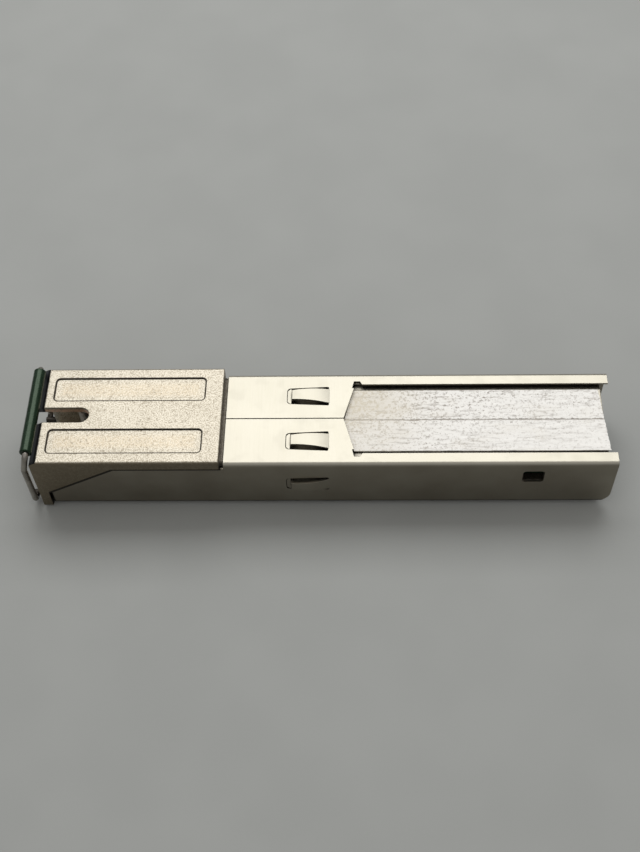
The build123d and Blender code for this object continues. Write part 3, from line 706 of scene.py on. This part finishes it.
@dataclass(frozen=True)
class TornPaper(Finish):
    """Blank label that was peeled off: pale fibres along X, speckled, with old adhesive in front."""

    paper: Colour
    shade: Colour
    adhesive: Colour
    depth: float = 0.05
    fibre: Marks = Marks(0.36, 4.0, 0.66, (0.14, 1.0, 1.0))
    fibre_cut: Span = (0.46, 0.37)
    speck: Marks = Marks(0.34, 3.0, 0.72)
    speck_cut: Span = (0.47, 0.39)
    fleck: Marks = Marks(0.3, 3.0, 0.75, (0.5, 1.0, 1.0), (0.40, 0.33))
    patch: Marks = Marks(2.6, 3.0, stretch=(0.45, 1.0, 1.0))
    worn_patch: Span = (0.62, 0.4)
    glue_patch: Span = (0.5, 0.68)
    glue_speck: Span = (0.54, 0.4)
    glue_x: Span = (28.0, 15.0)
    glue_y: Span = (-3.5, 3.0)
    age_x: Span = (46.0, 18.0)
    age_y: Span = (-3.5, 2.5)
    seam_y: float = 0.05
    seam_width: Span = (0.13, 0.05)
    seam_patch: Span = (0.34, 0.46)

    def sockets(self, book: NodeBook) -> dict[int | str, Any]:
        """Peeled paper.

        Args:
            book: The material's nodes.

        Returns:
            The shader's socket values.
        """
        x, y, _ = book.axes()
        kinds = (self.fibre, self.speck, self.fleck, self.patch)
        fibre, speck, fleck, patch = (book.noise(marks) for marks in kinds)
        lean = y.step(*self.glue_y) * 0.55 + 0.45
        spread = x.step(*self.glue_x) * lean + patch.step(*self.glue_patch) * 0.2
        glue = (speck.step(*self.glue_speck) * 0.4 + 0.6) * spread
        worn = patch.step(*self.worn_patch) * 0.6 + 0.4
        dark = fibre.step(*self.fibre_cut) * 0.55 + speck.step(*self.speck_cut) * 0.6 + fleck * worn * 1.2
        waver = (speck - 0.5) * 0.5
        seam = abs(y - self.seam_y + waver).step(*self.seam_width) * patch.step(*self.seam_patch)
        age = x.step(*self.age_x) * 0.5 + y.step(*self.age_y) * 0.4 + 0.35
        pale = book.mix((dark * age * 0.9 + seam * 0.8).least(1.0), self.paper, self.shade)
        return {
            "Base Color": book.mix(glue, pale, self.adhesive),
            "Roughness": 0.78 + fibre * 0.2,
            "Normal": book.relief(fibre * 0.7 + speck * 0.3 - seam * 0.8, self.depth),
        }


@dataclass(frozen=True)
class BoardMask(Finish):
    """Solder mask over copper: traces that run along the board show through as a lighter green."""

    colour: Colour
    trace: Colour
    rough: float = 0.32
    depth: float = 0.02
    gloss: float = 0.3
    gloss_rough: float = 0.2
    trace_stretch: Sequence[float] = (0.16, 1.0, 1.0)
    trace_rate: float = 0.72
    trace_wander: float = 2.2
    trace_cut: Span = (0.62, 0.7)
    field: Marks = Marks(4.0, 1.0, cut=(0.44, 0.47))
    weave: Marks = Marks(0.2, 1.0)

    def sockets(self, book: NodeBook) -> dict[int | str, Any]:
        """Green board.

        Args:
            book: The material's nodes.

        Returns:
            The shader's socket values.
        """
        wave = {"wave_type": "BANDS", "bands_direction": "Y", "wave_profile": "SIN"}
        inputs = {"Vector": book.place(self.trace_stretch), "Scale": self.trace_rate,
                  "Distortion": self.trace_wander, "Detail": 0.0}
        bands = book.add("ShaderNodeTexWave", wave, inputs, "Fac")
        traces = bands.step(*self.trace_cut) * book.noise(self.field)
        weave = book.noise(self.weave)
        return {
            "Base Color": book.mix(traces, self.colour, self.trace),
            "Roughness": self.rough + weave * 0.12,
            "Coat Weight": self.gloss,
            "Coat Roughness": self.gloss_rough,
            "Normal": book.relief(traces * 0.8 + weave * 0.2, self.depth),
        }


@dataclass(frozen=True)
class Floor(Finish):
    """Matt table top, with a faint even mottle."""

    colour: Colour
    shade: Colour
    rough: float = 0.7
    depth: float = 0.004
    specular: float = 0.25
    mottle: Marks = Marks(14.0, cut=(0.3, 0.7))
    fine: Marks = Marks(0.5)

    def sockets(self, book: NodeBook) -> dict[int | str, Any]:
        """Plain table.

        Args:
            book: The material's nodes.

        Returns:
            The shader's socket values.
        """
        fine = book.noise(self.fine)
        return {
            "Base Color": book.mix(book.noise(self.mottle) * 0.7 + fine * 0.3, self.shade, self.colour),
            "Roughness": self.rough + fine * 0.1,
            "Specular IOR Level": self.specular,
            "Normal": book.relief(fine, self.depth),
        }


CASTING = NoseMetal("champagne_casting", "zinc_casting", (0.50, 0.458, 0.378), (0.235, 0.203, 0.153))
INNER_CASTING = CastMetal("inner_casting", "cover_casting", (0.42, 0.39, 0.325), (0.27, 0.243, 0.195),
                          depth=0.016, shade_reach=0.9)
# Plated sheet; its third colour is painted shade for the flanks.
SHEET = PlatedSheet("plated_sheet", "plated_sheet", (0.392, 0.367, 0.306), (0.360, 0.336, 0.276),
                    (0.180, 0.153, 0.114))
PAPER = TornPaper("torn_paper", "blank_label", (0.93, 0.90, 0.845), (0.36, 0.32, 0.28), (0.70, 0.63, 0.50))
WIRE = BailSteel("bail_steel", "steel_wire", (0.42, 0.395, 0.35), (0.22, 0.20, 0.175), Grain.NONE, 0.22)
LEVER = TurnedMetal("lever_steel", "latch_steel", (0.55, 0.52, 0.46), (0.38, 0.35, 0.30), Grain.ALONG_X)
PIN = TurnedMetal("pin_steel", "pin_steel", (0.60, 0.59, 0.56), (0.42, 0.41, 0.38), Grain.ALONG_Y, 0.22)
SPRING = TurnedMetal("spring_steel", "spring_steel", (0.52, 0.51, 0.48), (0.34, 0.33, 0.31), Grain.ALONG_X)
STEEL = TurnedMetal("turned_steel", "turned_steel", (0.60, 0.58, 0.54), (0.42, 0.40, 0.36), Grain.ALONG_X)
GILT = TurnedMetal("gilt_can", "gilt_can", (0.83, 0.62, 0.25), (0.60, 0.42, 0.15), Grain.NONE, 0.25)
GOLD = TurnedMetal("contact_gold", "contact_gold", (0.88, 0.64, 0.24), (0.68, 0.46, 0.14), Grain.ALONG_X,
                   0.2)
TIN = TurnedMetal("tinned_sheet", "tinned_sheet", (0.66, 0.65, 0.62), (0.50, 0.49, 0.46), Grain.ALONG_X,
                  0.28)
CRYSTAL = TurnedMetal("crystal_lid", "crystal_lid", (0.72, 0.71, 0.68), (0.55, 0.54, 0.51), Grain.NONE, 0.2)
SOLDER = TurnedMetal("solder", "tinned_sheet", (0.62, 0.62, 0.60), (0.44, 0.44, 0.42), Grain.NONE,
                     0.18, 0.02)
TUBE = SoftTube("green_tube", "green_sleeve", (0.003, 0.013, 0.005), (0.010, 0.026, 0.013))
HOOKS = Moulded("port_plastic", "port_plastic", (0.46, 0.43, 0.38), (0.36, 0.33, 0.28))
CERAMIC = Moulded("white_ceramic", "ceramic", (0.82, 0.80, 0.74), (0.74, 0.71, 0.64), rough=0.2, gloss=0.4)
FILM = Moulded("flex_film", "flex_film", (0.40, 0.17, 0.03), (0.27, 0.10, 0.015), rough=0.28, gloss=0.5)
CHIP = Moulded("chip_black", "chip_black", (0.022, 0.022, 0.024), (0.012, 0.012, 0.013), 0.05, 0.01, 0.5)
FERRITE = Moulded("ferrite", "ferrite", (0.075, 0.072, 0.070), (0.045, 0.043, 0.042), 0.09, 0.012, 0.55)
TAN = Moulded("capacitor_tan", "capacitor_tan", (0.36, 0.24, 0.13), (0.27, 0.17, 0.09), rough=0.4)
HEAT_PAD = Moulded("heat_pad", "heat_pad_grey", (0.30, 0.34, 0.38), (0.24, 0.28, 0.31), 0.14, 0.02, 0.75)
BOARD = BoardMask("board_green", "board_green", (0.010, 0.075, 0.035), (0.030, 0.150, 0.070))
TABLE = Floor("table_top", "", (0.352, 0.355, 0.337), (0.331, 0.334, 0.317))


def dress(node: bpy.types.Object, finish: Finish) -> None:
    """Give a CAD node its finish, in its own material slots.

    Args:
        node: The node's object.
        finish: What it is finished in.
    """
    material = finish.material()
    if not node.material_slots:
        node.data.materials.append(material)
    for slot in node.material_slots:
        slot.material = material
    log.info("dressed %s in %s", node.name, finish.name)


def finished(name: str, mesh: bmesh.types.BMesh, finish: Finish, body: Body | None,
             stands_for: Iterable[str] = ()) -> bpy.types.Object:
    """Make a piece of the object from a finished mesh.

    Args:
        name: The piece's name.
        mesh: Its mesh, in place, which is freed.
        finish: What it is finished in.
        body: The body it rides on, or None for a piece that lies between two and rides on neither.
        stands_for: CAD nodes that it replaces.

    Returns:
        The piece.
    """
    data = bpy.data.meshes.new(name)
    mesh.to_mesh(data)
    mesh.free()
    data.materials.append(finish.material())
    piece = bpy.data.objects.new(name, data)
    bpy.context.scene.collection.objects.link(piece)
    if body:
        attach(piece, body.value)
    if stands_for:
        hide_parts(*stands_for)
    log.info("built %s: %d faces in %s", name, len(data.polygons), finish.name)
    return piece


def soften(mesh: bmesh.types.BMesh, angle: float = SHARP_ANGLE) -> None:
    """Shade a mesh smooth, apart from the edges sharper than an angle.

    Args:
        mesh: The mesh.
        angle: The angle in degrees.
    """
    limit = math.radians(angle)
    for face in mesh.faces:
        face.smooth = True
    for edge in mesh.edges:
        edge.smooth = len(edge.link_faces) == 2 and edge.calc_face_angle(0.0) < limit


def smooth_copy(node: bpy.types.Object, name: str, finish: Finish, body: Body | None) -> bpy.types.Object:
    """Stand a merged, smoothly shaded copy of a CAD node in its place.

    Args:
        node: The node's object.
        name: The copy's name.
        finish: What the copy is finished in.
        body: The body it rides on, or None for a piece that lies between two and rides on neither.

    Returns:
        The copy.
    """
    mesh = bmesh.new()
    mesh.from_mesh(node.data)
    bmesh.ops.remove_doubles(mesh, verts=mesh.verts, dist=MERGE_DISTANCE)
    bmesh.ops.dissolve_degenerate(mesh, edges=mesh.edges, dist=MERGE_DISTANCE)
    soften(mesh)
    piece = finished(name, mesh, finish, body, [node.name])
    flat = piece.modifiers.new("flat_faces", "WEIGHTED_NORMAL")
    flat.weight = FLAT_WEIGHT
    flat.keep_sharp = True
    return piece


def boxes_of(mesh: bmesh.types.BMesh) -> list[tuple[Vector, Vector]]:
    """Find the box of each separate solid in a merged mesh.

    Args:
        mesh: The mesh.

    Returns:
        The lowest and highest corner of each.
    """
    found = []
    waiting = set(mesh.verts)
    while waiting:
        reached = [waiting.pop()]
        for vertex in reached:
            near = {edge.other_vert(vertex) for edge in vertex.link_edges} & waiting
            waiting -= near
            reached += near
        low, high = (Vector(pick(v.co[i] for v in reached) for i in range(3)) for pick in (min, max))
        found.append((low, high))
    return sorted(found, key=lambda box: tuple(box[0]))


def drift(x: float, y: float, rate: Span, seed: float) -> float:
    """Smooth noise, about -1 to 1, whose rate says how fast it changes along X and Y."""
    return noise.noise((x * rate[0], y * rate[1], seed))


@dataclass
class TornLabel:
    """The blank label on the landing: a thin sheet with fibres in relief and a ragged rear edge.

    Each rate is how fast its noise changes along X and Y, per millimetre.
    """

    node: str = "label_pad"
    cells_x: int = 300
    cells_y: int = 84
    point_length: float = 1.1 * MM
    relief: float = 0.045 * MM
    ragged: float = 0.10 * MM
    tear_lean: float = 0.62 * MM
    tear_length: float = 3 * MM
    tear_rate: Span = (0.0, 2.3)
    fringe_rate: Span = (1.0, 6.5)
    nibble: float = 0.03 * MM
    nibble_rate: Span = (1.7, 1.0)
    side_y: Span = (4.2, 4.47)
    rest_height: float = 0.45
    peel: Span = (0.08, 0.38)
    fibre: float = 0.45
    fibre_rate: Span = (0.35, 3.6)
    strand_rate: Span = (0.8, 8.0)
    flake: float = 0.7
    flake_rate: Span = (0.28, 1.1)
    speck: float = 0.16
    speck_rate: Span = (4.0, 4.0)
    gutter: float = 0.9
    gutter_y: float = 0.05
    gutter_width: float = 0.09
    gutter_rate: Span = (0.9, 1.0)
    sharp: float = 50.0

    def build(self) -> None:
        """Make the label and stand it for its CAD solid."""
        low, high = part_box(self.node)
        mesh = bmesh.new()
        bmesh.ops.create_grid(mesh, x_segments=self.cells_x, y_segments=self.cells_y, size=0.5)
        size = high - low
        middle = ((low.x + high.x) / 2, 0, low.z + size.z * self.rest_height)
        place = Matrix.Translation(middle)
        scale = Matrix.Diagonal((size.x, size.y, 1, 1))
        bmesh.ops.transform(mesh, matrix=place @ scale, verts=mesh.verts)
        self._point(mesh, low, high)
        for vertex in mesh.verts:
            self._tear(vertex, low, high)
            vertex.co.z += self._height(vertex.co, low, high) * self.relief
        rim = [edge for edge in mesh.edges if edge.is_boundary]
        wall = bmesh.ops.extrude_edge_only(mesh, edges=rim)["geom"]
        for vertex in wall:
            if isinstance(vertex, bmesh.types.BMVert):
                vertex.co.z = low.z
        bmesh.ops.recalc_face_normals(mesh, faces=mesh.faces)
        soften(mesh, self.sharp)
        finished("torn_label", mesh, PAPER, Body.HOUSING, [self.node])

    def _point(self, mesh: bmesh.types.BMesh, low: Vector, high: Vector) -> None:
        """Cut the pointed front.

        Args:
            mesh: The label's grid.
            low: The node's lowest corner.
            high: The node's highest corner.
        """
        for side in (-1, 1):
            normal = Vector((-high.y, side * self.point_length, 0)).normalized()
            tip = Vector((low.x, 0, 0))
            parts = mesh.verts[:] + mesh.edges[:] + mesh.faces[:]
            bmesh.ops.bisect_plane(mesh, geom=parts, plane_co=tip, plane_no=normal, clear_outer=True)

    def _tear(self, vertex: bmesh.types.BMVert, low: Vector, high: Vector) -> None:
        """Draw the rear edge into its ragged line and roughen the long sides.

        Args:
            vertex: A vertex of the grid, which is moved.
            low: The node's lowest corner.
            high: The node's highest corner.
        """
        across = vertex.co.y / MM
        near_end = max(0.0, 1 - (high.x - vertex.co.x) / self.tear_length)
        share = (vertex.co.y - low.y) / (high.y - low.y)
        ragged = drift(0, across, self.tear_rate, 4) + 0.6 * drift(7, across, self.fringe_rate, 1) + 0.8
        vertex.co.x -= near_end ** 2 * (share * self.tear_lean + self.ragged * ragged)
        near_side = max(0.0, abs(across) - self.side_y[0]) / (self.side_y[1] - self.side_y[0])
        bite = drift(vertex.co.x / MM, math.copysign(3, across), self.nibble_rate, 0) + 0.5
        vertex.co.y -= math.copysign(near_side * max(0.0, bite) * self.nibble, across)

    def _height(self, place: Vector, low: Vector, high: Vector) -> float:
        """Relief of the peeled surface.

        Args:
            place: A point on the label.
            low: The node's lowest corner.
            high: The node's highest corner.

        Returns:
            The height, from about -1 to 1.
        """
        x, y = place.x / MM, place.y / MM
        along = (place.x - low.x) / (high.x - low.x)
        peeled = min(1.0, max(0.0, (along - self.peel[0]) / (self.peel[1] - self.peel[0])))
        fibre = drift(x, y, self.fibre_rate, 0) + 0.5 * drift(x, y, self.strand_rate, 5)
        flake = 1.0 if drift(x, y, self.flake_rate, 9) > 0.16 - 0.1 * along else 0.0
        middle = math.exp(-((y - self.gutter_y) / self.gutter_width) ** 2)
        gutter = middle * max(0.0, 0.4 + drift(x, 2, self.gutter_rate, 2))
        speck = drift(x, y, self.speck_rate, 3)
        raised = peeled * (self.fibre * fibre + self.flake * flake)
        return raised + self.speck * speck - self.gutter * gutter


@dataclass
class SheetBody:
    """The folded sheet with its fingers and windows, and the lid and landing inside it."""

    label: TornLabel

    def build(self, nodes: dict[str, bpy.types.Object]) -> None:
        """Dress the sheet and the lid, and lay the label on the landing.

        Args:
            nodes: The CAD nodes by name.
        """
        smooth_copy(nodes["shell"], "folded_sheet", SHEET, Body.HOUSING)
        smooth_copy(nodes["top_cover"], "lid_casting", INNER_CASTING, Body.HOUSING)
        self.label.build()


@dataclass
class Nose:
    """The die-cast nose with its port and the tray behind it; its front is set upright."""

    front_x: float = -22.2 * MM
    brow_x: float = -21.7 * MM
    foot_z: float = 1.25 * MM
    brow_z: float = 8.95 * MM
    top_z: float = 9.45 * MM
    reach: float = 0.38 * MM

    def build(self, nodes: dict[str, bpy.types.Object]) -> None:
        """Dress the casting and set its front upright.

        Args:
            nodes: The CAD nodes by name.
        """
        casting = smooth_copy(nodes["nose_housing"], "nose_casting", CASTING, Body.HOUSING)
        for vertex in casting.data.vertices:
            vertex.co.x -= self.reach * self._lead(vertex.co)

    def _lead(self, place: Vector) -> float:
        """How far a point of the front comes forward, so that it stands upright below a deep brow.

        Args:
            place: A point of the casting.

        Returns:
            0 for a point that stays, 1 for the front edge of the brow.
        """
        if place.z > self.brow_z and place.x < self.brow_x:
            return max(0.0, (self.top_z - place.z) / (self.top_z - self.brow_z))
        if place.x < self.front_x:
            return max(0.0, (place.z - self.foot_z) / (self.brow_z - self.foot_z))
        return 0.0


@dataclass
class FibrePort:
    """What lies in the port: the hooked insert, the barrel and its ceramic sleeve."""

    def build(self, nodes: dict[str, bpy.types.Object]) -> None:
        """Dress the port's pieces.

        Args:
            nodes: The CAD nodes by name.
        """
        smooth_copy(nodes["port_insert"], "hooked_insert", HOOKS, Body.HOUSING)
        smooth_copy(nodes["receptacle_barrel"], "turned_barrel", STEEL, Body.HOUSING)
        smooth_copy(nodes["ferrule_sleeve"], "split_sleeve", CERAMIC, Body.HOUSING)
        dress(nodes["fibre_stub"], CERAMIC)


@dataclass
class Bail:
    """The wire bail and the soft tube on its top bar."""

    profile_points: int = 9
    turns: int = 48
    end_round: float = 0.16 * MM
    ripple: float = 0.02 * MM
    ripple_rate: float = 0.7
    side_points: int = 40
    bore_share: float = 0.56
    sharp: float = 40.0

    def build(self, nodes: dict[str, bpy.types.Object]) -> None:
        """Dress the wire and model the tube."""
        smooth_copy(nodes["bail_wire"], "bent_wire", WIRE, Body.BAIL)
        self._tube()

    def _tube(self) -> None:
        """Spin the tube from its wall's outline, with rounded ends and a slight ripple."""
        low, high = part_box("bail_sleeve")
        centre = (low + high) / 2
        outer = (high.z - low.z) / 2
        inner = outer * self.bore_share
        half = (high.y - low.y) / 2
        mesh = bmesh.new()
        outline = self._outline(centre, inner, outer, half)
        ring = [mesh.verts.new(point) for point in outline]
        edges = [mesh.edges.new(pair) for pair in zip(ring, ring[1:] + ring[:1])]
        bmesh.ops.spin(mesh, geom=ring + edges, cent=centre, axis=(0, 1, 0), angle=math.tau,
                       steps=self.turns, use_merge=True)
        bmesh.ops.remove_doubles(mesh, verts=mesh.verts, dist=MERGE_DISTANCE)
        bmesh.ops.recalc_face_normals(mesh, faces=mesh.faces)
        soften(mesh, self.sharp)
        finished("soft_tube", mesh, TUBE, Body.BAIL, ["bail_sleeve"])

    def _outline(self, centre: Vector, inner: float, outer: float, half: float) -> list[Vector]:
        """Section of the tube's wall, above its axis.

        Args:
            centre: The tube's middle.
            inner: Radius of its bore.
            outer: Radius of its outside.
            half: Half its length.

        Returns:
            The corners of a closed outline.
        """
        points, rounded = [], []
        for step in range(self.side_points + 1):
            share = step / self.side_points
            y = -half + self.end_round + share * 2 * (half - self.end_round)
            swell = self.ripple * (noise.noise((0, y / MM * self.ripple_rate, 0)) - 0.5)
            points.append((y, outer + min(0.0, swell)))
        for step in range(1, self.profile_points):
            turn = step / self.profile_points * math.pi / 2
            y = half - self.end_round * (1 - math.sin(turn))
            rounded.append((y, outer - self.end_round * (1 - math.cos(turn))))
        far_end = [(-y, z) for y, z in reversed(rounded)]
        points += rounded + [(half, inner), (-half, inner)] + far_end
        return [centre + Vector((0, y, z)) for y, z in points]


@dataclass
class Latch:
    """The lever under the nose with its pin and leaf spring."""

    spring_held: float = 0.35
    spring_foot: float = 0.5 * MM

    def build(self, nodes: dict[str, bpy.types.Object]) -> None:
        """Dress the latch.

        Args:
            nodes: The CAD nodes by name.
        """
        smooth_copy(nodes["latch_lever"], "stamped_lever", LEVER, Body.LATCH)
        dress(nodes["latch_pin"], PIN)
        self._spring(nodes["latch_spring"])

    def _spring(self, node: bpy.types.Object) -> None:
        """Stand a smooth copy of the spring, which lies between the casting that holds it and the lever it
        presses on, on neither body and with its place baked into its mesh.

        Args:
            node: The spring's CAD node.
        """
        leaf = smooth_copy(node, "leaf_spring", SPRING, None)
        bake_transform(leaf)


@dataclass
class Optics:
    """The optics block with the laser and receiver cans and their flexible circuits."""

    def build(self, nodes: dict[str, bpy.types.Object]) -> None:
        """Dress the optics.

        Args:
            nodes: The CAD nodes by name.
        """
        smooth_copy(nodes["optics_body"], "turned_block", STEEL, Body.HOUSING)
        smooth_copy(nodes["laser_can"], "laser_package", GILT, Body.HOUSING)
        smooth_copy(nodes["photodiode_can"], "receiver_package", GILT, Body.HOUSING)
        dress(nodes["laser_flex"], FILM)
        dress(nodes["photodiode_flex"], FILM)


@dataclass
class Board:
    """The circuit board with its contacts, chips and small parts."""

    plating: float = 0.02 * MM
    terminal_share: float = 0.24

    def build(self, nodes: dict[str, bpy.types.Object]) -> None:
        """Dress the board.

        Args:
            nodes: The CAD nodes by name.
        """
        finishes = {
            "circuit_board": BOARD,
            "edge_contacts": GOLD,
            "controller_chip": CHIP,
            "driver_chip": CHIP,
            "flash_chip": CHIP,
            "crystal": CRYSTAL,
            "inductors": FERRITE,
            "capacitors": TAN,
            "shield_can": TIN,
            "thermal_pad": HEAT_PAD,
        }
        for name, finish in finishes.items():
            dress(nodes[name], finish)
        self._terminals(nodes["capacitors"], "capacitor_terminals")
        self._terminals(nodes["inductors"], "inductor_terminals")

    def _terminals(self, node: bpy.types.Object, name: str) -> None:
        """Cap both ends of every small part with a rounded tinned terminal.

        Args:
            node: The CAD node with the small parts.
            name: The piece's name.
        """
        source = bmesh.new()
        source.from_mesh(node.data)
        bmesh.ops.remove_doubles(source, verts=source.verts, dist=MERGE_DISTANCE)
        mesh = bmesh.new()
        for low, high in boxes_of(source):
            middle = (low + high) / 2
            size = high - low + Vector((2, 2, 2)) * self.plating
            long_axis = 0 if size.x > size.y else 1
            reach = size[long_axis] * self.terminal_share
            cap_size = size.copy()
            cap_size[long_axis] = reach
            for side in (-1, 1):
                centre = middle.copy()
                centre[long_axis] += side * (size[long_axis] - reach) / 2
                place = Matrix.Translation(centre) @ Matrix.Diagonal((*cap_size, 1))
                bmesh.ops.create_cube(mesh, size=1, matrix=place)
        source.free()
        bmesh.ops.bevel(mesh, geom=mesh.edges[:], offset=self.plating, segments=2, profile=0.5,
                        affect="EDGES", material=-1)
        finished(name, mesh, SOLDER, Body.HOUSING)


@dataclass
class Lamp:
    """One soft lamp: its place, what it faces, its size and its power."""

    name: str
    place: Vector
    aim: Vector
    width: float
    depth: float
    power: float
    colour: Colour

    def build(self) -> None:
        """Hang the lamp."""
        data = bpy.data.lights.new(self.name, "AREA")
        data.shape = "RECTANGLE"
        data.size = self.width
        data.size_y = self.depth
        data.energy = self.power
        data.color = self.colour
        lamp = bpy.data.objects.new(self.name, data)
        lamp.location = self.place
        lamp.rotation_mode = "QUATERNION"
        lamp.rotation_quaternion = (self.place - self.aim).to_track_quat("Z", "Y")
        lamp.visible_camera = False
        bpy.context.scene.collection.objects.link(lamp)
        log.info("hung %s", self.name)


@dataclass
class PhotoCamera:
    """The camera of the photograph: where it looks, from where, and its focal length in pixels."""

    target: Vector
    distance: float
    azimuth: float
    elevation: float
    roll: float
    focal_pixels: float

    def build(self) -> None:
        """Set the scene's camera."""
        turn, rise, roll = (math.radians(a) for a in (self.azimuth, self.elevation, self.roll))
        back = Vector((math.sin(turn) * math.cos(rise), -math.cos(turn) * math.cos(rise), math.sin(rise)))
        level = Vector((math.cos(turn), math.sin(turn), 0))
        above = back.cross(level)
        right = level * math.cos(roll) + above * math.sin(roll)
        up = above * math.cos(roll) - level * math.sin(roll)
        data = bpy.data.cameras.new("photo_camera")
        data.lens = data.sensor_width * self.focal_pixels / max(IMAGE_W, IMAGE_H)
        data.clip_start, data.clip_end = CLIP
        camera = bpy.data.objects.new("photo_camera", data)
        axes = Matrix((right, up, back)).transposed().to_4x4()
        camera.matrix_world = Matrix.Translation(self.target + back * self.distance) @ axes
        bpy.context.scene.collection.objects.link(camera)
        bpy.context.scene.camera = camera
        log.info("set the camera")


KEY = Lamp("key_softbox", place=Vector((0.008, 0.195, 0.307)), aim=Vector((0.008, 0.0, 0.004)),
           width=0.38, depth=0.205, power=0.79, colour=(0.97, 0.985, 1.0))
CAMERA = PhotoCamera(target=Vector((11.788, 1.95, 4.0)) * MM, distance=150.957 * MM, azimuth=3.323,
                     elevation=55.467, roll=-2.986, focal_pixels=1202.157)


@dataclass
class Studio:
    """The table, the soft light and the camera."""

    floor_size: float = 4.0
    floor_drop: float = 0.02 * MM
    sky_low: Colour = (0.20, 0.20, 0.20)
    sky_high: Colour = (0.64, 0.64, 0.64)
    sky_rise: Span = (0.02, 0.85)
    floor_cells: int = 8

    def build(self) -> None:
        """Make everything that isn't part of the object."""
        self._floor()
        self._sky()
        KEY.build()
        CAMERA.build()
        bpy.context.scene.view_settings.view_transform = "Standard"

    def _floor(self) -> None:
        """Lay the table."""
        low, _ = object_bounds()
        mesh = bmesh.new()
        cells = self.floor_cells
        bmesh.ops.create_grid(mesh, x_segments=cells, y_segments=cells, size=self.floor_size / 2)
        drop = Matrix.Translation((0, 0, low.z - self.floor_drop))
        bmesh.ops.transform(mesh, matrix=drop, verts=mesh.verts)
        data = bpy.data.meshes.new("table")
        mesh.to_mesh(data)
        mesh.free()
        data.materials.append(TABLE.material())
        floor = bpy.data.objects.new("table", data)
        bpy.context.scene.collection.objects.link(floor)
        floor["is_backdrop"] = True
        log.info("laid the table")

    def _sky(self) -> None:
        """Light from all round: dim at the horizon, brighter overhead."""
        world = bpy.data.worlds.new("studio")
        world.use_nodes = True
        world.node_tree.nodes.clear()
        book = NodeBook(world.node_tree)
        direction = book.add("ShaderNodeTexCoord", output="Generated")
        rise = book.add("ShaderNodeSeparateXYZ", None, {0: direction}, "Z")
        colour = book.mix(rise.step(*self.sky_rise), self.sky_low, self.sky_high)
        sky = book.add("ShaderNodeBackground", None, {"Color": colour, "Strength": 1.0})
        output = world.node_tree.nodes.new("ShaderNodeOutputWorld")
        world.node_tree.links.new(sky.socket, output.inputs["Surface"])
        bpy.context.scene.world = world
        log.info("set the sky")


def main() -> None:
    """Build the object's looks, then the studio."""
    logging.basicConfig(level=logging.INFO, format="%(name)s: %(message)s")
    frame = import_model()
    nodes = frame["nodes"]
    for part in (Nose(), SheetBody(TornLabel()), FibrePort(), Bail(), Latch(), Optics(), Board()):
        part.build(nodes)
        log.info("finished %s", type(part).__name__)
    Studio().build()


if __name__ == "__main__":
    main()
